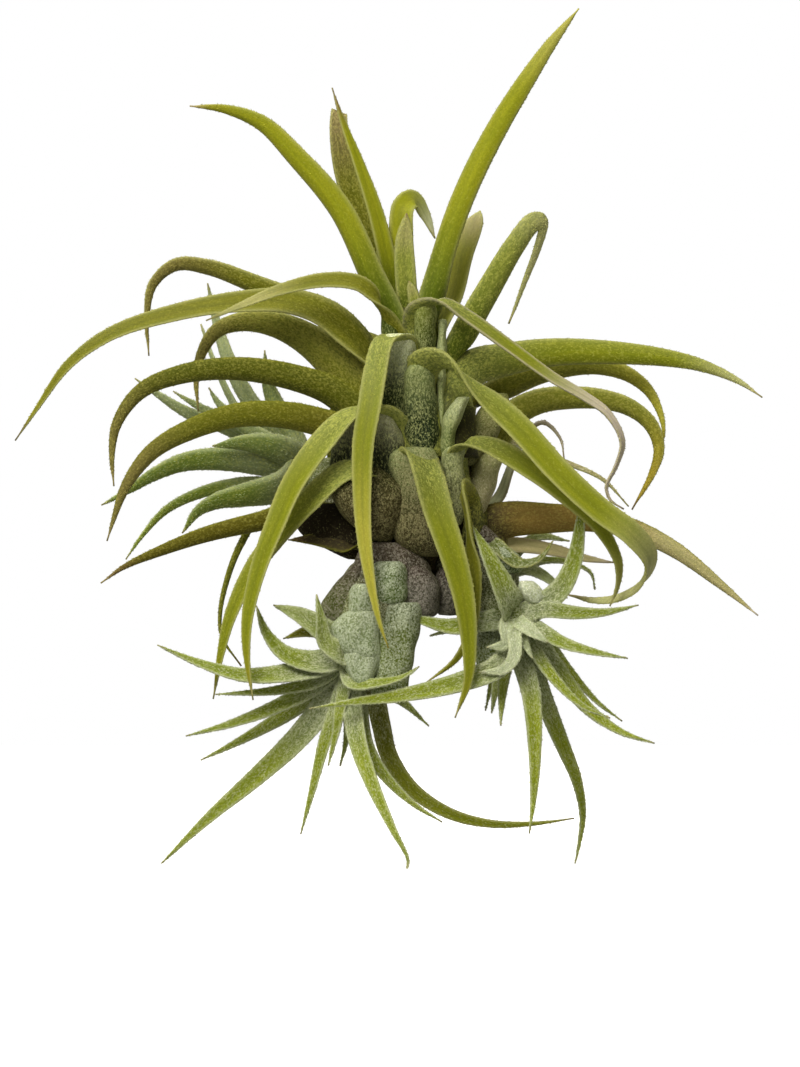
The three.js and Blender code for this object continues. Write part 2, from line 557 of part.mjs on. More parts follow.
// The pups: the bulb from foot to centre, the direction its leaves face, and each leaf as its width
// and the midrib from the fan's centre to the tip
const PUPS = {
  pup_front: {
    colour: SILVER,
    foot: [2.2, -4.4, 50.6],
    centre: [-5.8, -9, 35.5],
    facing: [-0.3, -0.8, 0.3],
    bulb: [[0, 3.6], [0.2, 6.8], [0.45, 7.6], [0.7, 6.2], [0.9, 4.4], [1.12, 2]],
    leaves: [
      [3.6, [-11, -11, 33], [-17, -12.4, 31.8], [-24, -12.8, 31.6], [-31, -12.6, 33.6], [-38.2, -12, 36.8]],
      [2.4, [-11, -10, 31], [-18, -10.4, 29.2], [-28.6, -11.4, 28.6]],
      [3, [-11, -8, 30.4], [-18, -7.4, 26.6], [-26, -6.4, 23.6], [-33.6, -5.6, 21.6]],
      [3.2, [-10.4, -6, 30], [-16, -4, 25.6], [-24, -2, 21], [-31.2, -1, 17.5]],
      [4, [-9, -8, 28.6], [-14.4, -5, 21.6], [-21.6, -0.6, 14.8], [-30, 4, 7.6], [-38.4, 8, -0.4]],
      [2.6, [-8, -10, 27.4], [-10.4, -9.6, 20.6], [-12.4, -9, 13], [-14.5, -8.4, 5.3]],
      [2.4, [-7.6, -11, 27.4], [-8.6, -12, 22], [-9.9, -12.6, 16.8]],
      [2.2, [-6.6, -5.6, 28], [-6.8, -3.4, 21.6], [-8, -2, 16.5]],
      [
        3.2, [-5.8, -11, 27.6], [-4.8, -14.6, 20.6], [-2.4, -18, 13.6], [0.8, -21, 6.6],
        [3.3, -22, 1.4], [3, -22, -0.5],
      ],
      [2.8, [-4.8, -9, 27.4], [-3.4, -9.6, 20], [0, -10.6, 14.6], [4.6, -11, 10.2], [9, -11, 7.4]],
      [
        2.8, [-2.4, -6, 29], [-1.2, -4, 24], [0.2, -2.6, 18.4], [4, -1.6, 12.8], [10, -1, 8.8],
        [16.6, -0.6, 7], [24, -0.6, 6.9], [31, -0.8, 7.8],
      ],
      [3.6, [-11.4, -11.6, 34], [-17, -12, 35.6], [-19.8, -11.6, 39], [-21.7, -11, 43.3]],
      [2.8, [-10.6, -12, 39.6], [-14.4, -12, 41.9], [-19, -12, 43.4]],
      [2.8, [-8.8, -13, 36.4], [-10.6, -14.4, 40.6], [-11.8, -15, 45.2]],
      [6, [-4.6, -13.4, 37.6], [-4.2, -16.6, 38.4]],
      [5.4, [-9.6, -9, 37.6], [-13.2, -10, 39.4], [-16.2, -10, 41]],
      [3.6, [-1, -8.4, 38], [2, -9.6, 41], [3.2, -10, 44]],
      [5.2, [-3.4, -13, 33.8], [-0.6, -15.6, 32.6]],
      [4.4, [-0.6, -11.6, 37.6], [2.2, -13.4, 36.6], [3.2, -13.6, 31.6]],
      [2.8, [-4, -13, 30.6], [0, -14.4, 30.7], [5.2, -15, 33.3]],
      [2, [-2, -10, 30], [2.6, -10.8, 27.2], [6.8, -11, 23.3]],
    ],
  },
  pup_right: {
    colour: SILVER,
    foot: [10.8, -3, 52],
    centre: [20.6, -8, 41.2],
    facing: [0.3, -0.8, 0.2],
    bulb: [[0, 3.6], [0.3, 5.7], [0.65, 5.5], [0.9, 3.4], [1.15, 1.6]],
    leaves: [
      [
        3, [20.4, -12.4, 37], [18, -15, 33.6], [12, -15.2, 30.8], [2, -15.6, 28.4], [-5, -15.8, 27.5],
        [-13, -16, 26.3],
      ],
      [3.2, [16, -11.4, 40.6], [10.6, -11.6, 39.8], [5, -11.4, 41], [0.7, -11.4, 41.8]],
      [4.2, [18.6, -12.4, 46], [16, -13.4, 51.6], [13.9, -12.4, 56.8]],
      [3.4, [25, -10.2, 43], [28.8, -10.6, 46.2], [31, -10.4, 51], [32, -10.2, 57.6], [32.8, -10, 64]],
      [2.6, [26, -11, 42.6], [31, -12.2, 42.1], [36, -13, 42.2], [41.5, -13.4, 43.4]],
      [2.6, [24.6, -11, 39.4], [29, -13.4, 37], [34, -14.4, 35.6], [39.7, -15, 34.6]],
      [2.2, [23, -13.4, 40], [26.5, -15.4, 37.2]],
      [2, [22, -13.6, 38], [23.9, -15.2, 34.6]],
      [3.2, [24.6, -7.4, 37], [28.6, -7, 31.6], [33, -7, 26.2], [38.4, -7, 22.4], [44.3, -7, 20.4]],
      [2, [26, -5, 37.4], [30.4, -3.4, 32], [34.6, -2.6, 27.4], [39, -2, 24]],
      [2.4, [24, -10.6, 36], [27.6, -12.2, 31], [32, -13, 26.8], [36.8, -13.4, 24.7]],
      [
        3.2, [22.8, -7, 35.4], [25.6, -4, 28], [28.6, 0, 20.8], [31.4, 4, 14], [32.5, 7, 8],
        [32, 8, 3.4], [31.2, 8, -0.5],
      ],
      [3.4, [21.8, -10.4, 35], [23.6, -12.6, 28], [24.2, -14, 19], [24, -14.6, 11], [23.4, -15, 5.6]],
      [2.6, [19.6, -9.6, 35], [18.9, -11, 29], [18.7, -12, 23.4]],
      [2.2, [19.8, -14, 39.4], [19.2, -15.2, 36.6], [16.4, -15.8, 36]],
      [2.2, [18.4, -8.4, 33], [17.2, -8.6, 25.4]],
      [4.4, [23, -11.4, 44.4], [23.6, -14, 46]],
      [5.6, [15.4, -9.4, 43], [11, -9.6, 44.2], [7.4, -9.2, 45.4]],
    ],
  },
  pup_left: {
    colour: SILVER,
    foot: [-1.6, 5.4, 59],
    centre: [-14.6, 9.4, 65.4],
    facing: [0, 0.75, 0.65],
    bulb: [[0, 3], [0.3, 5.4], [0.65, 5.2], [0.9, 3.4], [1.1, 1.6]],
    leaves: [
      [
        4.2, [-20, 8.6, 66.4], [-27, 8.4, 67.2], [-34, 8.2, 66.8], [-39, 8, 64.9], [-43, 8, 62.6],
        [-48, 8, 60],
      ],
      [
        2.4, [-18, 11.4, 63.4], [-25, 12.6, 63.2], [-31, 12.6, 62], [-37, 12.4, 59.2],
        [-41.5, 12.2, 54.5], [-44, 12, 50.9],
      ],
      [5.4, [-18, 5, 62.2], [-24, 3.6, 61], [-28.6, 3.4, 60.2], [-31.8, 3.4, 58.6], [-34.4, 3.4, 55.3]],
      [2.5, [-20, 12.4, 69], [-27, 13.4, 72.6], [-34, 13.6, 75.4], [-42.5, 13.6, 81.3]],
      [2.1, [-19.4, 9.6, 69], [-26, 10, 73.4], [-31, 10, 76], [-36, 10, 79.1]],
      [2.2, [-18.4, 7.6, 69.4], [-25, 7.6, 73.6], [-28.4, 7.6, 77], [-30, 7.6, 79.7]],
      [2.8, [-17.4, 12.6, 69.6], [-22, 14.4, 75], [-25.4, 15, 80.4], [-28.2, 15, 87.6], [-30.3, 15, 97.3]],
      [2.4, [-18.4, 14.6, 68], [-25, 18, 75], [-28.6, 18.6, 82], [-31.5, 18.6, 90.5]],
      [2.6, [-15.4, 11.4, 70], [-18, 12.4, 75], [-20.2, 12.6, 80.4], [-20.7, 12.6, 86]],
      [4.6, [-17.4, 6, 68.4], [-23.4, 5, 70], [-29.4, 5, 69.9]],
      [3, [-14, 14, 66], [-15, 21, 67], [-18, 27, 62], [-20, 29.4, 54]],
    ],
  },
  pup_back: {
    colour: SILVER,
    foot: [10.6, 4.4, 50.6],
    centre: [18.4, 12, 47],
    facing: [0, -0.7, 0.7],
    bulb: [[0, 2.4], [0.3, 4.2], [0.65, 4.2], [0.9, 2.8], [1.1, 1.6]],
    leaves: [
      [2.2, [21.4, 9.6, 51.6], [25, 8.4, 54.6], [30.4, 8, 54]],
      [2.2, [23.4, 8.6, 49], [27, 7, 47.4], [30, 6.4, 44.4]],
      [1.6, [26, 12, 50.6], [31, 11.6, 50.2], [34, 11.4, 48.6], [34.7, 11.4, 45.8]],
      [2.6, [20, 18, 49.6], [21, 25, 48.6], [22.4, 30.6, 41.6]],
      [2.4, [16, 18, 50.6], [13.4, 24, 53.6], [9.6, 29, 53]],
      [2.4, [18, 15.6, 41.4], [18, 19.6, 33.6], [16.4, 22, 25.4]],
      [2.4, [22, 14, 42.4], [25.4, 17.4, 37.4], [26.8, 20, 30.4]],
      [2.2, [15, 15, 43], [11.6, 18.6, 39.6], [7, 21.4, 38]],
    ],
  },
};

// The heart, with its youngest leaf, the tiny new leaf, a branch to each pup and an old root stub
const YOUNG_LEAF = [[3.6, -0.4, 88], [3.2, -1, 97], [3.1, -1, 103], [3.3, -0.8, 108.4]];
const NEW_LEAF = [[4.4, -2, 88], [4.6, -2.8, 93], [3.5, -3, 97.3]];
const YOUNG_FALL = 2.4;
const YOUNG_ROLL = 40;

function heart(grow = 0) {
  const [low] = HEART_OUTLINE[0];
  const [high] = HEART_OUTLINE.at(-1);
  const rows = HEART_OUTLINE.map(([height, radius]) => [(height - low) / (high - low), radius]);
  let made = turned(heartAxis(low), heartAxis(high), rows, HEART_SIDES, grow);
  const leaf = (path, wide) =>
    sweep({
      midrib: path.map(vec),
      face: new THREE.Vector3(0, -1, 0.1),
      width: (share) => wide * (1 - share ** YOUNG_FALL),
      thick: () => LEAF_THICK,
      roll: () => YOUNG_ROLL,
      backPoints: PUP_BACK_POINTS,
      grow,
    });
  made = made.add(leaf(YOUNG_LEAF, 2.6)).add(leaf(NEW_LEAF, 1.8));
  for (const pup of Object.values(PUPS)) {
    const foot = vec(pup.foot);
    const inner = heartAxis(foot.z + 1).lerp(foot, 0.2);
    const outer = foot.clone().lerp(vec(pup.centre), 0.3);
    const rows = [[0, BRANCH_RADIUS * 1.4], [0.6, BRANCH_RADIUS], [1, BRANCH_RADIUS]];
    made = made.add(turned(inner, outer, rows, BRANCH_SIDES, grow));
  }
  return made;
}

function pupSolid(pup, grow = 0) {
  let made = turned(vec(pup.foot), vec(pup.centre), pup.bulb, PUP_SIDES, grow);
  for (const leaf of pup.leaves) made = made.add(pupLeaf(pup, leaf, grow));
  return made;
}

// Every piece is made at its own size and a little larger, and what is made later is cut clear of
// what is made before it. A scrap that a cut frees is dropped.
const pieces = [];

function place(name, colour, make) {
  let made = make(0).trimByPlane([0, 0, 1], FOOT_CUT);
  for (const other of pieces) {
    if (made.intersect(other.grown).volume() > 0) made = made.subtract(other.grown);
  }
  const bodies = made.simplify(CUT_SMOOTHING).decompose();
  bodies.sort((a, b) => b.volume() - a.volume());
  pieces.push({ name, colour, body: bodies[0], grown: make(GAP) });
}

place("heart", STEM, heart);
for (const [name, spec] of Object.entries(MOTHER_LEAVES)) {
  place(`leaf_${name}`, spec.colour, (grow) => motherLeaf(spec, grow));
}
for (const [name, pup] of Object.entries(PUPS)) {
  place(name, pup.colour, (grow) => pupSolid(pup, grow));
}

const plant = new THREE.Group();
for (const { name, colour, body } of pieces) {
  const { vertProperties, triVerts } = body.getMesh();
  const geometry = new THREE.BufferGeometry();
  geometry.setAttribute("position", new THREE.BufferAttribute(vertProperties, 3));
  geometry.setIndex(new THREE.BufferAttribute(triVerts, 1));
  geometry.computeVertexNormals();
  const material = new THREE.MeshStandardMaterial({ color: colour, roughness: 0.8, metalness: 0 });
  const mesh = new THREE.Mesh(geometry, material);
  mesh.name = name;
  mesh.position.y = -DEPTH_MIDDLE;
  plant.add(mesh);
}

export default plant;
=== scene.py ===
import math

import bpy
import numpy as np
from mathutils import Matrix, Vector


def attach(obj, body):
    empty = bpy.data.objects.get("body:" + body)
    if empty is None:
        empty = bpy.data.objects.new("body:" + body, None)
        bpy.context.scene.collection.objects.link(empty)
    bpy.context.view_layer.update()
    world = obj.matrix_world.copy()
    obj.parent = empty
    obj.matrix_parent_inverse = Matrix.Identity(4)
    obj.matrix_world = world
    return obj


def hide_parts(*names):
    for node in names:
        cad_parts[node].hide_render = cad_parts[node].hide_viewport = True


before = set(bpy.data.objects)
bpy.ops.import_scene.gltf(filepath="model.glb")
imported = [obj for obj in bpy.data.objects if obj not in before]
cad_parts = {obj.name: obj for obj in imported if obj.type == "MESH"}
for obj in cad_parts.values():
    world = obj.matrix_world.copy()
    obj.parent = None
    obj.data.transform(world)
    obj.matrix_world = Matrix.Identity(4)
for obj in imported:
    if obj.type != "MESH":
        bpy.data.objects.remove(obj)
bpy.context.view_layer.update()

MM = 0.001

# The plant's own sizes
DEPTH_MIDDLE = 4.7  # the middle of the plant lies this far behind the middle of its heart
GAP = 0.3
LEAF_THICK = 0.95  # a mother leaf at its root
TIP_THICK = 0.5
RIM_THICK = 0.3  # share of the thickness left at the rims
PUP_LEAF_THICK = 0.9
TIP_WIDTH = 0.22
# The keel is painted light and shade: paler along the ridge of a blade's back, darker down the channel of
# its face
KEEL = 0.18  # share of a blade's half width that its paler keel takes up
THINS = 2.4  # power by which a blade thins from its keel to its rims
FULLEST = 0.8  # share of a channel's radius that half of the thickness may take up
LAYER = 1.35  # how far an outer sheath lies outside an inner one
SHEATH_ROLL = 62  # half of the arc that a sheath bends round the heart
BLADE_ROLL = 32  # half of the arc of a blade's channel
PUP_ROLL = 40
HEART_ROLL = 40
LOOK_FROM = 0.1  # share of a leaf's length from where its face may turn to its look
LOOK_SPAN = 0.2  # and over how much of the length it turns
FACE_MEETS_LOOK = 0.2  # cosine at which a face is near enough to its look to start turning
LATEST_TURN = 0.4  # share of the length at which it starts all the same
SHEATH_WIDENS = 1.6  # width of a sheath, in blades, where a leaf gives none
SHEATH_SHARE = 0.34  # share of a leaf's length over which its sheath narrows to the blade
SHEATH_FALL = 1.5  # power by which it narrows
ROLL_OPENS = 0.25  # share of the length over which the sheath's arc opens to the blade's
TIP_FALL = 2.6  # power by which a blade narrows to its tip; a high one gives a blunt tip
PUP_TIP_FALL = 1.7
YOUNG_TIP_FALL = 2.5  # added to it on a wholly young leaf
PUP_WIDENS = 1.2  # width of a pup's blades, in blades of the solid, as they are seen half flattened
PUP_ROOT_WIDTH = 0.75
PUP_LOOK = (0, -1, 0.2)
YOUNG_LENGTH = (10, 20)  # mm: a pup's leaf is silvery when shorter, and green when longer
YOUNG_SHARE = 0.8
LIME_DROP = (5, 25)  # mm: a pup's leaf turns lime green as it hangs this far below its bulb
LIME_SHARE = 0.4
FRINGE_PER_MM = 4  # scales along each millimetre of a rim
CURVE_STEPS = 400  # places at which a midrib is worked out
BEND_RINGS = 14  # mm of run that a bend of one radian is worth when rings are spread

# Along a leaf, as shares of its length
ROOT_TO_NECK = (0.08, 0.2)
NECK_TO_BLADE = (0.2, 0.5)
NECK_COVER_FADES = (0.2, 0.48)
END_FROM = 0.82
END_SPAN = 0.25
TIP_FROM = 0.94
# Across it, as shares of its half width, and how much paler it is there
RIM_FROM = 0.7
RIM_PALES = 0.6
# Painted light and shade on the keel: how much paler its back and darker its face are
KEEL_LIGHT_AND_SHADE = 0.16

# The rings along a blade and the strips across it, and the rings and sides of a turned body
MOTHER_MESH = (96, 10)
PUP_MESH = (40, 6)
DRUM_MESH = (32, 48)

# A turned body: how softly its outline bends, its least radius between ridges and how far they stand out
OUTLINE_SOFT = 0.08
RIDGE_FOOT = 0.93
RIDGE = 0.1

# A swollen sheath: how square its ends are, and its ribs, lumps and sway in millimetres
SHEATH_ROUNDING = 5
PAD_ROUNDING = 12
SQUARED = 0.78
RIB = 0.1
LUMP = 0.12
SWAY = 0.12

# A scale of the felt, in its own lengths
SCALE_HALF_WIDTH = 0.22
SCALE_RIDGE = 0.25
SCALE_HEEL = 0.1
SCALE_LIFT = (0.1, 0.5)  # how far its tip stands off the skin
SCALE_LENGTHS = (0.6, 1.3)  # the shortest and the longest, in usual lengths
SCALE_SINKS = 0.03  # mm that its foot lies under the skin
SCALE_SWING = 0.45  # radians by which it usually turns away from the run of the leaf
RIM_LEAN = (0.2, 0.6)  # how far the scales of a rim lean outward
STEP_ALONG = 0.002  # small steps on a skin, by which its directions are found
STEP_ACROSS = 0.01
NO_LENGTH = 1e-9  # keeps a direction without length from being divided by zero
PATTERN_STEP = 40  # mm between the places where two pieces read the pattern of the skin

# The photograph's view: 800 by 1067 pixels, six of them to a millimetre in the plane of the heart
PHOTO_HIGH = 1067
PIXELS_PER_MM = 6
VIEW_MIDDLE = (2.0, 55.25)  # x and z at the middle of the photograph
LENS = 400
SENSOR = 36

# The light: colours and places in metres. Sky and floor look white to the camera, and light the plant less.
LIT_PLACE = (0, 0, 0.06)
LAMP_COLOUR = (1, 0.97, 0.88)
SKY_AS_LIGHT = (1, 0.95, 0.8)
SKY_STRENGTH = 0.3
FLOOR_AS_LIGHT = (0.3, 0.3, 0.3)
FLOOR_WHITES = ((0.9, 0.9, 0.89), (0.93, 0.93, 0.92))
FLOOR_GLOW = 0.6

# The heart: its axis leans a little to the left, and its radius falls from the bulb to the crown
HEART_FOOT = np.array([7.3, 0, 51.7])
HEART_CROWN = np.array([4, 0, 90.8])
HEART_OUTLINE = [
    # height above the resting surface, radius
    (48, 2.2),
    (50, 4.6),
    (53, 8),
    (58, 9),
    (65, 7.6),
    (75, 5),
    (82, 3.8),
    (88, 2.8),
    (93, 1.5),
]

# Where the upper face of a blade looks beyond its sheath
SHOWS_FACE = (0, -0.75, 0.65)
SHOWS_BACK = (0, 0.85, 0.5)

# Colours of skin, as Blender's linear values
DARK_SHEATH = (0.075, 0.08, 0.022)
BROWN_SHEATH = (0.1, 0.075, 0.035)
MAUVE_SHEATH = (0.09, 0.066, 0.052)
GREEN_SHEATH = (0.15, 0.165, 0.05)
DEEP_SHEATH = (0.05, 0.075, 0.008)
FRESH_NECK = (0.12, 0.16, 0.01)
SHEEN_GREEN = (0.27, 0.3, 0.05)
BRIGHT_GREEN = (0.225, 0.245, 0.01)
FRESH_GREEN = (0.31, 0.32, 0.012)
GOLD_GREEN = (0.42, 0.39, 0.05)
LIT_OLIVE = (0.26, 0.26, 0.035)
YELLOW_GREEN = (0.3, 0.28, 0.02)
OLIVE_GREEN = (0.19, 0.19, 0.012)
DEEP_GREEN = (0.135, 0.145, 0.01)
BROWN_OLIVE = (0.15, 0.13, 0.01)
SILVER_GREEN = (0.15, 0.18, 0.05)
SILVER_NECK = (0.2, 0.225, 0.06)
PUP_SILVER = (0.32, 0.36, 0.2)
PUP_GREEN = (0.25, 0.3, 0.03)
PUP_LEAF = (0.2, 0.27, 0.05)
PUP_LIME = (0.33, 0.38, 0.02)
YOUNG_SILVER = (0.52, 0.56, 0.4)
PALE_OLIVE = (0.38, 0.36, 0.14)
PINK_OLIVE = (0.34, 0.26, 0.13)
SILVER_END = (0.5, 0.49, 0.25)
PALE_GOLD = (0.46, 0.43, 0.1)
TAN_OLIVE = (0.24, 0.2, 0.06)
PALE_TAN = (0.48, 0.42, 0.22)
PINK_GREY = (0.6, 0.52, 0.45)
RUST = (0.34, 0.22, 0.06)
# Painted shade: near black, put at the root of long_right where it goes into a shadowed hollow
PAINTED_SHADE_BROWN = (0.03, 0.028, 0.008)
PALE_SILVER = (0.3, 0.33, 0.1)
# Painted light: pale silver made paler than the skin, for leaves that lie in shade (grey_curl, and
# heart_folded's hanging end)
PAINTED_LIGHT_SILVER = (0.7, 0.72, 0.5)
DARK_BROWN = (0.06, 0.045, 0.02)
GOLDEN_END = (0.4, 0.3, 0.03)
TAN_END = (0.36, 0.29, 0.15)
BROWN_END = (0.2, 0.12, 0.06)
PURPLE_END = (0.15, 0.09, 0.09)
TAN_PURPLE = (0.24, 0.15, 0.08)
DRIED = (0.42, 0.34, 0.25)
DRIED_DARK = (0.22, 0.16, 0.12)
PALE_RIM = (0.5, 0.49, 0.22)
SILVER_RIM = (0.62, 0.66, 0.44)
SILVER_SCALE = (0.66, 0.68, 0.48)
PAD_SCALE = (0.52, 0.57, 0.42)
GOLD_SCALE = (0.42, 0.4, 0.09)
LIME_SCALE = (0.47, 0.48, 0.1)
SHEATH_SCALE = (0.5, 0.53, 0.22)
HEART_SCALE = (0.36, 0.33, 0.16)
MAUVE_SCALE = (0.37, 0.34, 0.28)

# How a leaf is coloured: at its sheath, at its neck, along its blade, at its end and its very tip, on its
# back and on its rims, and how much of the skin the scales cover: sheath, neck, blade's face and back
TONES = {
    "bright": {
        "root": GREEN_SHEATH, "neck": SILVER_NECK, "blade": BRIGHT_GREEN, "end": YELLOW_GREEN,
        "tip": TAN_END, "back": BRIGHT_GREEN, "rim": PALE_RIM, "cover": (0.8, 0.75, 0.15, 0.4),
    },
    "fresh": {
        "root": DEEP_SHEATH, "neck": FRESH_NECK, "blade": FRESH_GREEN, "end": YELLOW_GREEN,
        "tip": TAN_END, "back": FRESH_GREEN, "rim": PALE_RIM, "cover": (0.5, 0.3, 0.12, 0.2),
    },
    "sheen": {
        "root": FRESH_NECK, "neck": FRESH_NECK, "blade": SHEEN_GREEN, "end": SHEEN_GREEN,
        "tip": TAN_END, "back": SHEEN_GREEN, "rim": PALE_RIM, "cover": (0.8, 0.6, 0.5, 0.6),
    },
    "olive": {
        "root": DARK_SHEATH, "neck": OLIVE_GREEN, "blade": OLIVE_GREEN, "end": YELLOW_GREEN,
        "tip": BROWN_END, "back": OLIVE_GREEN, "rim": PALE_RIM, "cover": (0.7, 0.6, 0.25, 0.55),
    },
    "deep": {
        "root": DARK_SHEATH, "neck": DEEP_GREEN, "blade": DEEP_GREEN, "end": OLIVE_GREEN,
        "tip": BROWN_END, "back": DEEP_GREEN, "rim": OLIVE_GREEN, "cover": (0.7, 0.6, 0.3, 0.6),
    },
    "brown_olive": {
        "root": BROWN_SHEATH, "neck": BROWN_OLIVE, "blade": BROWN_OLIVE, "end": BROWN_END,
        "tip": TAN_END, "back": BROWN_OLIVE, "rim": OLIVE_GREEN, "cover": (0.6, 0.5, 0.25, 0.5),
    },
    "silver": {
        "root": SILVER_GREEN, "neck": SILVER_GREEN, "blade": SILVER_GREEN, "end": BRIGHT_GREEN,
        "tip": TAN_END, "back": SILVER_GREEN, "rim": PALE_RIM, "cover": (0.85, 0.8, 0.55, 0.8),
    },
    "pup": {
        "root": PUP_SILVER, "neck": PUP_SILVER, "blade": PUP_GREEN, "end": PUP_GREEN, "tip": TAN_END,
        "back": PUP_SILVER, "rim": SILVER_RIM, "cover": (0.9, 0.8, 0.5, 0.8),
    },
    "pup_green": {
        "root": PUP_SILVER, "neck": PUP_SILVER, "blade": PUP_LEAF, "end": PUP_LEAF,
        "tip": TAN_END, "back": PUP_LEAF, "rim": SILVER_RIM, "cover": (0.8, 0.5, 0.4, 0.5),
    },
    "dry": {
        "root": BROWN_SHEATH, "neck": DRIED, "blade": DRIED, "end": DRIED_DARK, "tip": DRIED_DARK,
        "back": DRIED, "rim": DRIED, "cover": (0.3, 0.2, 0.1, 0.15),
    },
}

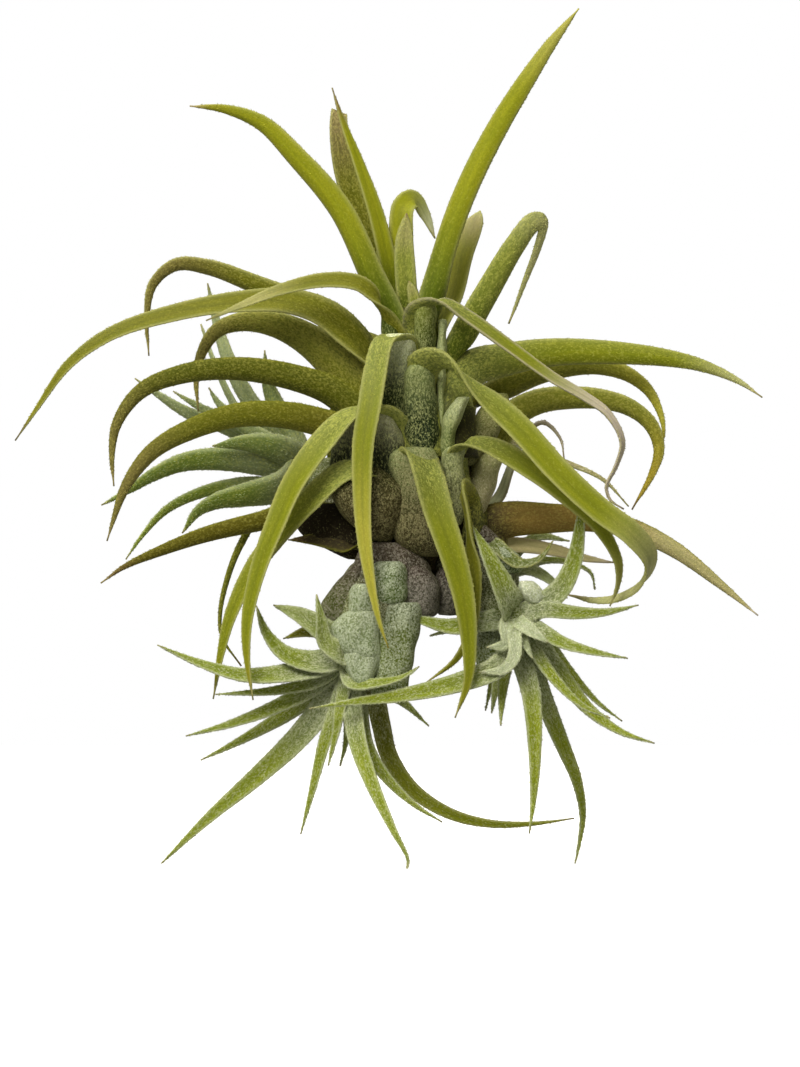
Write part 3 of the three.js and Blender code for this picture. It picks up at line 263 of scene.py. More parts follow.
# The mother's leaves, from the innermost out. Each has
# tones: its row of TONES, and colours: what it has otherwise
# at and rise: azimuth of its sheath, and the sheath's lower and upper height on the heart
# layer: how many sheaths lie under it
# blade and sheath: their widths, flare: share of the length over which one narrows to the other
# taper: power by which it narrows to its tip, roll: half of the arc of its channel in degrees
# look: where its upper face looks beyond its sheath, and look_from: the share of the length from where
# it may turn there; a look_from below 0 turns it before it leaves the bulb
# end_from: share of the length at which its end colour starts, path: the midrib beyond its sheath
MOTHER_LEAVES = {
    "heart_folded": {
        "tones": "fresh", "at": 85, "rise": (84, 91), "blade": 4.2,
        # Painted light: the hanging end is paler than its skin, for the light it lacks in shade
        "taper": 6, "end_from": 0.74, "colours": {"end": PAINTED_LIGHT_SILVER, "tip": PALE_TAN},
        "look": (0.6, -0.8, 0.2), "look_from": 0.66,
        "path": [(2.3, 2.2, 98), (2.2, 2.6, 104.6), (2.6, 3.2, 109.8), (4.2, 5, 111), (6, 6.6, 108.6),
                 (7.9, 7.4, 104.6)],
    },
    "top_slim": {
        "tones": "fresh", "at": 165, "rise": (82, 90), "blade": 3.7,
        "colours": {"end": TAN_PURPLE, "tip": PURPLE_END},
        "look": (0.5, -0.9, 0.2),
        "path": [(0.2, 0.8, 98), (-2, 1, 108), (-5, 1, 117), (-7.6, 1, 124), (-9.3, 1, 129.6)],
    },
    "top_left": {
        "tones": "fresh", "at": 205, "rise": (80, 89), "blade": 4.4, "taper": 4.4,
        "look": (0.3, 0.9, 0.3),
        "path": [(-2.8, -2.8, 98), (-8, -3.4, 109), (-15.5, -3.4, 118), (-21, -3.2, 123.4),
                 (-27, -3, 125.8), (-33, -3, 126.4)],
    },
    "top_right": {
        "tones": "fresh", "at": 320, "rise": (80, 89), "blade": 3.8, "roll": 20, "sheath": 7,
        "taper": 6, "end_from": 0.72, "colours": {"end": PALE_GOLD, "tip": PALE_GOLD},
        "look": (0.15, 0.95, 0),
        "path": [(8.2, -3.2, 98), (12, -4, 110), (17.5, -5, 121.5), (26.5, -7, 135.8), (31.7, -8, 142.4)],
    },
    "top_back": {
        "tones": "olive", "at": 130, "rise": (80, 89), "blade": 4.4,
        "taper": 7, "end_from": 0.62,
        "colours": {"end": PINK_OLIVE, "tip": PINK_OLIVE, "cover": (0.7, 0.6, 0.7, 0.8)},
        "look": (0.3, -0.9, 0.2),
        "path": [(-1, 4.5, 97), (-4.5, 5.5, 107), (-7.3, 6.2, 116), (-8.3, 6.9, 122.6),
                 (-8.3, 8.6, 125.4), (-8, 11, 125), (-7.6, 12.6, 121.5)],
    },
    "crossing_left": {
        "tones": "olive", "at": 222, "rise": (79, 87), "blade": 4,
        "end_from": 0.6, "colours": {"end": PALE_OLIVE, "tip": PINK_OLIVE},
        "look": SHOWS_FACE,
        "path": [(-1, -6, 92.5), (-4.5, -7.5, 96.3), (-10, -8.5, 97.1), (-17, -9, 95.8), (-24, -9, 93.2),
                 (-30.2, -8.5, 90.6)],
    },
    "right_short": {
        "tones": "fresh", "at": 15, "rise": (79, 88), "blade": 4.2,
        "taper": 16, "end_from": 0.74,
        "colours": {"blade": LIT_OLIVE, "back": LIT_OLIVE, "end": PALE_TAN, "tip": PALE_RIM},
        "look": (-0.4, -0.9, 0),
        "path": [(10.8, 3, 95), (12.6, 3.6, 102), (14.4, 4.4, 106.6), (15.4, 5.6, 109.2)],
    },
    "front_arch": {
        "tones": "bright", "at": 290, "rise": (81, 89.5), "blade": 4.1,
        "end_from": 0.5, "colours": {"end": PINK_GREY, "tip": DRIED_DARK, "rim": PINK_GREY},
        "look": (0.3, -0.5, 0.8),
        "path": [(5.7, -5.6, 92.6), (8.6, -7.8, 93.6), (13, -8.6, 91), (20, -9, 86), (27, -9, 81),
                 (32.5, -8.6, 77.8), (36.4, -8, 75), (38.8, -7.4, 70.4), (37.8, -7, 66.4),
                 (36.3, -6.6, 63), (37, -6.2, 60.8), (39.2, -6, 59.3)],
    },
    "right_silver": {
        "tones": "sheen", "at": 346, "rise": (74, 82), "blade": 4.8, "layer": 0.8, "sheath": 7,
        "end_from": 0.5, "colours": {"end": SILVER_END, "tip": PINK_OLIVE},
        "look": (-0.3, 0.9, 0.3),
        "path": [(13, -2.6, 88.6), (17.2, -2.8, 96.2), (21.2, -2.6, 103), (24.3, -2, 107),
                 (26.1, -0.2, 106.9), (25.2, 0.6, 103), (22.8, 0.8, 97), (20.1, 0.8, 90.2)],
    },
    "long_left": {
        "tones": "olive", "at": 180, "rise": (68, 78), "blade": 4.7, "sheath": 10.6, "flare": 0.56,
        "look": SHOWS_FACE,
        "path": [(-3, -0.6, 83), (-6.4, -1, 87.8), (-11, -1.5, 91.7), (-17, -2, 93.6), (-26, -3, 93.4),
                 (-36, -4, 91.6), (-46, -5, 88.3), (-53, -5, 83.3), (-58.5, -5, 75.8), (-62, -5, 70.7)],
    },
    "back_left": {
        "tones": "olive", "at": 148, "rise": (74, 84), "blade": 4.5,
        "end_from": 0.55, "colours": {"end": TAN_OLIVE, "tip": PINK_OLIVE},
        "look": SHOWS_BACK,
        "path": [(-6, 5.5, 89), (-14, 8.5, 93.4), (-22, 10.5, 96.7), (-30, 11.5, 99.7),
                 (-35.5, 11.5, 100.2), (-39.3, 11, 97), (-40.4, 10.5, 91), (-40.1, 10.5, 85)],
    },
    "wide_left": {
        "tones": "olive", "at": 190, "rise": (64, 73), "blade": 4.2, "sheath": 12, "flare": 0.9,
        "end_from": 0.6,
        "colours": {
            "blade": LIT_OLIVE, "back": LIT_OLIVE, "end": TAN_OLIVE, "tip": PINK_OLIVE,
            "cover": (0.8, 0.8, 0.7, 0.8),
        },
        "look": (0, 0.9, 0.4),
        "path": [(-4.4, 0.6, 78.6), (-9.3, 2, 84), (-14, 3, 87.8), (-18.8, 3.6, 90), (-24, 4, 90.6),
                 (-28.4, 4, 89.2), (-31, 4, 85.6), (-32, 4, 81.4), (-31.7, 4, 75.6)],
    },
    "front_hanging": {
        "tones": "bright", "at": 246, "rise": (74, 84), "blade": 4.4, "layer": 0.6, "sheath": 7,
        "end_from": 0.5,
        "colours": {"root": PALE_SILVER, "neck": PALE_SILVER, "end": GOLD_GREEN, "tip": GOLDEN_END},
        "look": (-0.2, -1, 0.3),
        "path": [(2.2, -7, 87.2), (-0.3, -9.6, 87), (-1.9, -11.6, 82), (-3, -13.4, 76), (-4, -14.6, 70),
                 (-4.2, -15.8, 62), (-3.8, -16.8, 54), (-2.6, -17.6, 46), (-1.2, -18, 40),
                 (0.1, -18, 36.3)],
    },
    "long_front": {
        "tones": "bright", "at": 270, "rise": (68, 80), "blade": 5, "layer": 1, "sheath": 7.4,
        "taper": 8, "end_from": 0.62, "colours": {"end": SILVER_END, "tip": TAN_END},
        "look": (0.2, -0.8, 0.6),
        "path": [(6.4, -9, 83.2), (9.6, -11.8, 83.4), (14, -13.8, 79.2), (21, -16, 73), (28, -18, 65.2),
                 (35, -19, 58.7), (40, -18.6, 55), (43, -15.6, 51), (42, -12, 47.3), (38, -8.4, 44.8),
                 (34, -6.4, 44.3), (30, -5.4, 45)],
    },
    "long_right": {
        "tones": "bright", "at": 322, "rise": (68, 77), "blade": 5.2, "layer": 1.7, "sheath": 8.5,
        "flare": 0.5, "end_from": 0.74,
        "colours": {
            # Painted shade: the root is near black for the shadowed hollow it goes into
            "root": PAINTED_SHADE_BROWN, "end": SILVER_END, "tip": TAN_END, "cover": (0.2, 0.7, 0.15, 0.4),
        },
        "look": (0, 0.9, 0.45), "look_from": 0,
        "path": [(14, -0.6, 82.6), (20, 0.2, 84.3), (27, 1, 85.4), (35, 1, 85.5), (45, 0, 84.7),
                 (52, -1, 83.3), (58, -2, 80.8), (62.3, -3, 77.9)],
    },
    "left_arch": {
        "tones": "deep", "at": 198, "rise": (60, 68), "blade": 5.3, "sheath": 9, "flare": 0.4,
        "end_from": 0.66, "colours": {"end": TAN_OLIVE, "tip": PINK_OLIVE},
        "look": SHOWS_BACK,
        "path": [(-4.8, -3.6, 74.6), (-9, -4.4, 78.4), (-16, -5, 81), (-25, -5.4, 82.4),
                 (-34, -5.2, 81.6), (-41, -4.8, 78.8), (-45, -4.4, 73.5), (-45.9, -4.2, 68),
                 (-45.6, -4.2, 63.1)],
    },
    "right_back": {
        "tones": "olive", "at": 22, "rise": (66, 74), "blade": 5, "layer": 1, "sheath": 9.6,
        "end_from": 0.55,
        "colours": {"blade": LIT_OLIVE, "back": LIT_OLIVE, "end": GOLD_GREEN, "tip": GOLDEN_END},
        "look": SHOWS_BACK, "look_from": 0.04,
        "path": [(15, 5.4, 77.2), (20, 6.8, 79.6), (25, 7.6, 81.8), (30, 7.8, 83), (35, 7.8, 83.2),
                 (40, 7.6, 81.8), (43.4, 7.2, 79.2), (45.4, 6.6, 75.6), (46.1, 6.2, 72.4), (45.9, 6, 70)],
    },
    "left_broad": {
        "tones": "brown_olive", "at": 204, "rise": (58, 67), "blade": 5.6, "layer": 0.8, "sheath": 8.4,
        "end_from": 0.6, "colours": {"blade": OLIVE_GREEN, "back": OLIVE_GREEN, "end": TAN_OLIVE},
        "look": SHOWS_BACK,
        "path": [(-5, -7, 71), (-10, -7.6, 73), (-17, -8, 74.6), (-25, -8, 74.6), (-33, -7.4, 72.2),
                 (-39.2, -7, 68.6), (-43.4, -6.6, 63.2), (-45.6, -6.2, 57.5), (-46.7, -6, 54)],
    },
    "front_left": {
        "tones": "bright", "at": 232, "rise": (63, 72), "blade": 5.2, "layer": 0.7, "sheath": 7.5,
        "colours": {"root": PALE_SILVER, "neck": PALE_SILVER, "cover": (1, 1, 0.15, 0.4)},
        "look": (-0.3, -0.8, 0.5),
        "path": [(-1.6, -9.4, 75.4), (-6, -11.4, 74.6), (-11, -13, 69.8), (-15.5, -14, 63.3),
                 (-18.5, -14.8, 56.5), (-21.5, -15.2, 48.5), (-23.2, -15.8, 40.5), (-23.2, -16.2, 34),
                 (-22.3, -16.4, 27.7)],
    },
    "second_front": {
        "tones": "bright", "at": 312, "rise": (58, 66), "blade": 4.4, "layer": 0.4,
        "taper": 3.4, "end_from": 0.75, "colours": {"end": PALE_OLIVE, "tip": TAN_END},
        "look": SHOWS_FACE,
        "path": [(12.6, -9.4, 69.8), (17, -11.6, 69.4), (24, -13.2, 65.4), (30, -13.8, 60.8),
                 (35, -14, 56), (38, -13.2, 50.5), (38, -12.2, 46.5), (36.8, -11.4, 43.2)],
    },
    "right_curl": {
        "tones": "olive", "at": 2, "rise": (55, 61), "blade": 5.2, "sheath": 6.4,
        "end_from": 0.7,
        "colours": {"blade": LIT_OLIVE, "back": LIT_OLIVE, "end": GOLDEN_END},
        "look": SHOWS_BACK, "look_from": 0,
        "path": [(16.2, 6, 65.4), (17.8, 6, 70), (20.6, 4.6, 74.6), (25, 3.4, 77), (30.5, 2.8, 77.7),
                 (36, 2.4, 77.4), (40.5, 2, 76), (43.8, 2, 73.2), (45.1, 2, 69.4), (44.1, 2, 65.4),
                 (40.7, 2, 59.2)],
    },
    "front_short": {
        "tones": "bright", "at": 262, "rise": (56, 64), "blade": 5.4, "layer": 1, "sheath": 9,
        "flare": 0.42,
        "look": (0.1, -1, 0.3),
        "path": [(4.9, -12, 67.6), (6.4, -15, 64.6), (8.7, -16.6, 57.5), (10.7, -17.4, 51.5),
                 (12.4, -17.6, 45), (13.3, -17.6, 38), (13.2, -17.6, 31), (11.1, -17.6, 24.8)],
    },
    "mid_left": {
        "tones": "bright", "at": 212, "rise": (54, 62), "blade": 5, "layer": 1, "sheath": 9,
        "colours": {"root": PALE_SILVER, "neck": PALE_SILVER, "cover": (1, 1, 0.3, 0.4)},
        "look": (-0.3, -0.8, 0.4),
        "path": [(-3.6, -10, 65.6), (-7.5, -11, 65), (-12.5, -10.8, 60.9), (-18, -10.2, 54.9),
                 (-22.6, -9.8, 48.7), (-26, -9.8, 41.5), (-27.6, -9.8, 35.5), (-29, -9.6, 27.8)],
    },
    "behind_front": {
        "tones": "olive", "at": 318, "rise": (54, 61), "blade": 3.2, "layer": 1, "sheath": 5,
        "look": (0.2, -0.9, 0.2),
        "path": [(12.6, -12.4, 62.4), (13.4, -13.6, 58), (14, -14, 51.5), (14.3, -14, 45),
                 (13.6, -13.6, 39), (11.3, -12.6, 34.5), (6.2, -11.6, 30.4)],
    },
    "low_right": {
        "tones": "brown_olive", "at": 355, "rise": (52, 56), "blade": 4.2, "layer": 0.6, "sheath": 7.6,
        "flare": 0.5, "end_from": 0.4,
        "colours": {"neck": RUST, "blade": RUST, "back": RUST, "end": PALE_TAN, "tip": PINK_GREY},
        "look": SHOWS_BACK, "look_from": -0.2,
        "path": [(20, -1, 57.2), (27, -0.4, 57.6), (34, 0, 57.4), (41, 0, 55.8), (48, -1, 52.3),
                 (55, -2, 47), (61.6, -3, 41.6)],
    },
    "low_left": {
        "tones": "brown_olive", "at": 198, "rise": (52, 56), "blade": 4.2, "layer": 0.6,
        "look": SHOWS_BACK,
        "path": [(-8.5, -4.4, 58), (-15, -4.6, 58.3), (-22, -4.6, 56.9), (-30, -4.4, 55),
                 (-38, -4.2, 52.2), (-44, -4, 49.6), (-47.8, -4, 47)],
    },
    "dry_sheath": {
        "tones": "brown_olive", "at": 222, "rise": (50, 51.6), "blade": 4.6, "sheath": 5,
        "colours": {"neck": DARK_BROWN, "blade": DARK_BROWN, "back": DARK_BROWN, "end": BROWN_END},
        "look": (0, -0.9, 0.4),
        "path": [(-3.4, -5.6, 52.4), (-8, -6, 53.6), (-12.6, -6, 54.2), (-16.6, -5.8, 54.2)],
    },
    "thin_dark": {
        "tones": "deep", "at": 178, "rise": (51, 54), "blade": 1.9, "sheath": 3,
        "look": SHOWS_BACK,
        "path": [(-9, 1.2, 56.4), (-16, 1, 59), (-21.3, 0, 58), (-24.4, -1.6, 53.5), (-26.6, -3, 48),
                 (-27.9, -4, 42), (-27.6, -4.6, 38), (-24.4, -5, 33.2)],
    },
    "grey_curl": {
        "tones": "dry", "at": 48, "rise": (54, 57), "blade": 1.5, "sheath": 4.4, "flare": 0.75,
        "end_from": 0.5,
        # Painted light: its silver is paler than its skin, for the light that the plant keeps off it
        "colours": {
            "root": PAINTED_LIGHT_SILVER, "neck": PAINTED_LIGHT_SILVER, "blade": PAINTED_LIGHT_SILVER, "back": PAINTED_LIGHT_SILVER,
            "end": PINK_GREY,
        },
        "look": (-0.5, -0.6, 0.7),
        "path": [(18.6, 10, 61), (20.6, 10, 66), (23.4, 9, 72.2), (26, 8.2, 73.8), (28.8, 7.6, 71.2),
                 (29.5, 7, 67.4)],
    },
    "thin_back": {
        "tones": "silver", "at": 66, "rise": (60, 65), "blade": 1.9, "sheath": 3,
        "colours": {"neck": PALE_TAN, "blade": PALE_TAN, "back": PALE_TAN, "end": PALE_TAN},
        "look": SHOWS_FACE,
        "path": [(16, 12.6, 69.6), (22, 13.6, 70.3), (28, 12.4, 67.8), (36, 10.4, 64.3),
                 (40.3, 9.4, 59.8)],
    },
    "small_right": {
        "tones": "silver", "at": 330, "rise": (50.5, 53), "blade": 3.2, "sheath": 4,
        "look": SHOWS_FACE,
        "path": [(17.6, -8, 53.2), (21.6, -10, 50.2), (25, -11, 50.9), (27.3, -12, 54)],
    },
    "dry_stalk": {
        "tones": "dry", "at": 8, "rise": (49.5, 51), "blade": 3.6, "sheath": 3.2,
        "colours": {"neck": PALE_TAN, "blade": PALE_TAN, "back": PALE_TAN, "end": PINK_GREY},
        "look": SHOWS_FACE,
        "path": [(20, 2.4, 53), (27, 2.6, 52.4), (33, 2.6, 51), (38, 2.4, 50.4)],
    },
    "rear_1": {
        "tones": "olive", "at": 92, "rise": (73, 82), "blade": 4.4,
        "path": [(4, 9, 89.6), (3, 16, 93.4), (1.5, 24, 90.6), (0.6, 29.6, 82), (0.6, 30.4, 74)],
    },
    "rear_2": {
        "tones": "olive", "at": 70, "rise": (66, 75), "blade": 4.4,
        "path": [(8.4, 11, 82), (9.2, 18, 84.6), (9, 26, 80), (8.2, 30.6, 70), (8, 30.8, 61)],
    },
    "rear_3": {
        "tones": "deep", "at": 118, "rise": (63, 72), "blade": 4.4,
        "path": [(-1.6, 11, 77.6), (-5.6, 18, 80.2), (-8.4, 25, 75.6), (-9.4, 30, 66), (-9, 31, 57)],
    },
    "rear_4": {
        "tones": "deep", "at": 98, "rise": (56, 64), "blade": 4.6,
        "path": [(2.6, 14, 70.6), (0.6, 21, 70.4), (-1, 27.6, 62.6), (-1.6, 31, 51), (-1, 31, 42)],
    },
    "rear_5": {
        "tones": "brown_olive", "at": 55, "rise": (55, 62), "blade": 4.4,
        "path": [(13, 12.6, 67.4), (14.6, 20, 68.4), (14, 27, 61.6), (12.6, 31, 50), (12, 31, 41)],
    },
}

# The pups. Each has
# foot, centre and bulb: the ends of its bulb, and rows of the share of the way between them and the radius
# leaves: the width of each, and its midrib from the centre to the tip
# facing: where the upper faces look at the root
# brown and shown: the numbers of the leaves that are old, and of those that turn their face to the front
# young: how silvery the leaves of these numbers are, lime: how lime green the low leaves are
# width: how much wider the blades are than the solid's
PUPS = {
    "pup_front": {
        "brown": (10, 14),
        "shown": (12, 13, 15),
        "foot": (2.2, -4.4, 50.6),
        "centre": (-5.8, -9, 35.5),
        "facing": (-0.3, -0.8, 0.3),
        "bulb": [(0, 3.6), (0.2, 6.8), (0.45, 7.6), (0.7, 6.2), (0.9, 4.4), (1.12, 2)],
        "leaves": [
            (3.6, (-11, -11, 33), (-17, -12.4, 31.8), (-24, -12.8, 31.6), (-31, -12.6, 33.6),
             (-38.2, -12, 36.8)),
            (2.4, (-11, -10, 31), (-18, -10.4, 29.2), (-28.6, -11.4, 28.6)),
            (3, (-11, -8, 30.4), (-18, -7.4, 26.6), (-26, -6.4, 23.6), (-33.6, -5.6, 21.6)),
            (3.2, (-10.4, -6, 30), (-16, -4, 25.6), (-24, -2, 21), (-31.2, -1, 17.5)),
            (4, (-9, -8, 28.6), (-14.4, -5, 21.6), (-21.6, -0.6, 14.8), (-30, 4, 7.6), (-38.4, 8, -0.4)),
            (2.6, (-8, -10, 27.4), (-10.4, -9.6, 20.6), (-12.4, -9, 13), (-14.5, -8.4, 5.3)),
            (2.4, (-7.6, -11, 27.4), (-8.6, -12, 22), (-9.9, -12.6, 16.8)),
            (2.2, (-6.6, -5.6, 28), (-6.8, -3.4, 21.6), (-8, -2, 16.5)),
            (3.2, (-5.8, -11, 27.6), (-4.8, -14.6, 20.6), (-2.4, -18, 13.6), (0.8, -21, 6.6),
             (3.3, -22, 1.4), (3, -22, -0.5)),
            (2.8, (-4.8, -9, 27.4), (-3.4, -9.6, 20), (0, -10.6, 14.6), (4.6, -11, 10.2), (9, -11, 7.4)),
            (2.8, (-2.4, -6, 29), (-1.2, -4, 24), (0.2, -2.6, 18.4), (4, -1.6, 12.8), (10, -1, 8.8),
             (16.6, -0.6, 7), (24, -0.6, 6.9), (31, -0.8, 7.8)),
            (4.4, (-11.4, -11.6, 33.6), (-17, -12, 35), (-20.2, -11.6, 38.6), (-21.8, -11, 43.3)),
            (3.8, (-9.6, -11, 38.4), (-14.4, -12, 41.6), (-19, -12, 43.4)),
            (3.6, (-8, -14, 35.4), (-10.6, -15, 37.4), (-11.2, -15.4, 41), (-11.8, -15.4, 45.2)),
            (3.2, (-9.6, -8, 39), (-13.4, -8.4, 39), (-17.4, -8.4, 37.8)),
            (3.6, (-5.4, -14.6, 30.2), (-1, -15.8, 30.4), (2.4, -16, 31.4), (5.2, -16, 33.3)),
            (2, (-2, -10, 30), (2.6, -10.8, 27.2), (6.8, -11, 23.3)),
        ],
    },
    "pup_right": {
        "lime": 0.9,
        "young": {6: 1, 14: 1, 15: 1},
        "shown": (6, 14, 15),
        "foot": (10.8, -3, 52),
        "centre": (20.6, -8, 41.2),
        "facing": (0.3, -0.8, 0.2),
        "bulb": [(0, 3.6), (0.3, 5.7), (0.65, 5.5), (0.9, 3.4), (1.15, 1.6)],
        "leaves": [
            (3.5, (20.4, -12.4, 36), (18, -15, 33), (12, -15.2, 30.6), (2, -15.6, 28.4),
             (-5, -15.8, 27.5), (-13, -16, 26.3)),
            (3.2, (16, -11.4, 40.6), (10.6, -11.6, 39.8), (5, -11.4, 41), (0.7, -11.4, 41.8)),
            (5.2, (19.6, -12.4, 44), (17, -13.6, 50), (13.9, -12.4, 56.8)),
            (3.4, (25, -10.2, 43), (28.8, -10.6, 46.2), (31, -10.4, 51), (32, -10.2, 57.6),
             (32.8, -10, 64)),
            (2.6, (26, -11, 42.6), (31, -12.2, 42.1), (36, -13, 42.2), (41.5, -13.4, 43.4)),
            (2.6, (24.6, -11, 39.4), (29, -13.4, 37), (34, -14.4, 35.6), (39.7, -15, 34.6)),
            (2.4, (22.6, -14, 39.8), (26.5, -15.4, 37.2)),
            (2, (22, -13.6, 38), (23.9, -15.2, 34.6)),
            (3.2, (24.6, -7.4, 37), (28.6, -7, 31.6), (33, -7, 26.2), (38.4, -7, 22.4), (44.3, -7, 20.4)),
            (2, (26, -5, 37.4), (30.4, -3.4, 32), (34.6, -2.6, 27.4), (39, -2, 24)),
            (2.4, (24, -10.6, 36), (27.6, -12.2, 31), (32, -13, 26.8), (36.8, -13.4, 24.7)),
            (3.2, (22.8, -7, 35.4), (25.6, -4, 28), (28.6, 0, 20.8), (31.4, 4, 14), (32.5, 7, 8),
             (32, 8, 3.4), (31.2, 8, -0.5)),
            (3.4, (21.8, -10.4, 35), (23.6, -12.6, 28), (24.2, -14, 19), (24, -14.6, 11),
             (23.4, -15, 5.6)),
            (2.6, (19.6, -9.6, 35), (18.9, -11, 29), (18.7, -12, 23.4)),
            (2.2, (19.4, -14.4, 39.4), (19.4, -15.4, 37), (16.3, -15.8, 36.4)),
            (2, (20.9, -14.6, 38.6), (20.9, -16, 35), (19.2, -16.4, 32.8), (15, -16.4, 32.3)),
            (2.2, (18.4, -8.4, 33), (17.2, -8.6, 25.4)),
        ],
    },
    "pup_left": {
        "tones": "pup_green",
        "young": {3: 0.5, 4: 0.4, 5: 0.4, 6: 0.6, 7: 0.6, 8: 0.3},
        "width": 1.5,
        "foot": (-1.6, 5.4, 59),
        "centre": (-14.6, 9.4, 65.4),
        "facing": (0, 0.75, 0.65),
        "bulb": [(0, 3), (0.3, 5.4), (0.65, 5.2), (0.9, 3.4), (1.1, 1.6)],
        "leaves": [
            (4.2, (-20, 8.6, 66.4), (-27, 8.4, 67.2), (-34, 8.2, 66.8), (-39, 8, 64.9), (-43, 8, 62.6),
             (-48, 8, 60)),
            (2.4, (-18, 11.4, 63.4), (-25, 12.6, 63.2), (-31, 12.6, 62), (-37, 12.4, 59.2),
             (-41.5, 12.2, 54.5), (-44, 12, 50.9)),
            (5.4, (-18, 5, 62.2), (-24, 3.6, 61), (-28.6, 3.4, 60.2), (-31.8, 3.4, 58.6),
             (-34.4, 3.4, 55.3)),
            (2.5, (-20, 12.4, 69), (-27, 13.4, 72.6), (-34, 13.6, 75.4), (-42.5, 13.6, 81.3)),
            (2.1, (-19.4, 9.6, 69), (-26, 10, 73.4), (-31, 10, 76), (-36, 10, 79.1)),
            (2.2, (-18.4, 7.6, 69.4), (-25, 7.6, 73.6), (-28.4, 7.6, 77), (-30, 7.6, 79.7)),
            (2.8, (-17.4, 12.6, 69.6), (-22, 14.4, 75), (-25.4, 15, 80.4), (-28.2, 15, 87.6),
             (-30.3, 15, 97.3)),
            (2.4, (-18.4, 14.6, 68), (-25, 18, 75), (-28.6, 18.6, 82), (-31.5, 18.6, 90.5)),
            (2.6, (-15.4, 11.4, 70), (-18, 12.4, 75), (-20.2, 12.6, 80.4), (-20.7, 12.6, 86)),
            (4.6, (-17.4, 6, 68.4), (-23.4, 5, 70), (-29.4, 5, 69.9)),
            (3, (-14, 14, 66), (-15, 21, 67), (-18, 27, 62), (-20, 29.4, 54)),
        ],
    },
    "pup_back": {
        "foot": (10.6, 4.4, 50.6),
        "centre": (18.4, 12, 47),
        "facing": (0, -0.7, 0.7),
        "bulb": [(0, 2.4), (0.3, 4.2), (0.65, 4.2), (0.9, 2.8), (1.1, 1.6)],
        "leaves": [
            (2.2, (21.4, 9.6, 51.6), (25, 8.4, 54.6), (30.4, 8, 54)),
            (2.2, (23.4, 8.6, 49), (27, 7, 47.4), (30, 6.4, 44.4)),
            (1.6, (26, 12, 50.6), (31, 11.6, 50.2), (34, 11.4, 48.6), (34.7, 11.4, 45.8)),
            (2.6, (20, 18, 49.6), (21, 25, 48.6), (22.4, 30.6, 41.6)),
            (2.4, (16, 18, 50.6), (13.4, 24, 53.6), (9.6, 29, 53)),
            (2.4, (18, 15.6, 41.4), (18, 19.6, 33.6), (16.4, 22, 25.4)),
            (2.4, (22, 14, 42.4), (25.4, 17.4, 37.4), (26.8, 20, 30.4)),
            (2.2, (15, 15, 43), (11.6, 18.6, 39.6), (7, 21.4, 38)),
        ],
    },
}

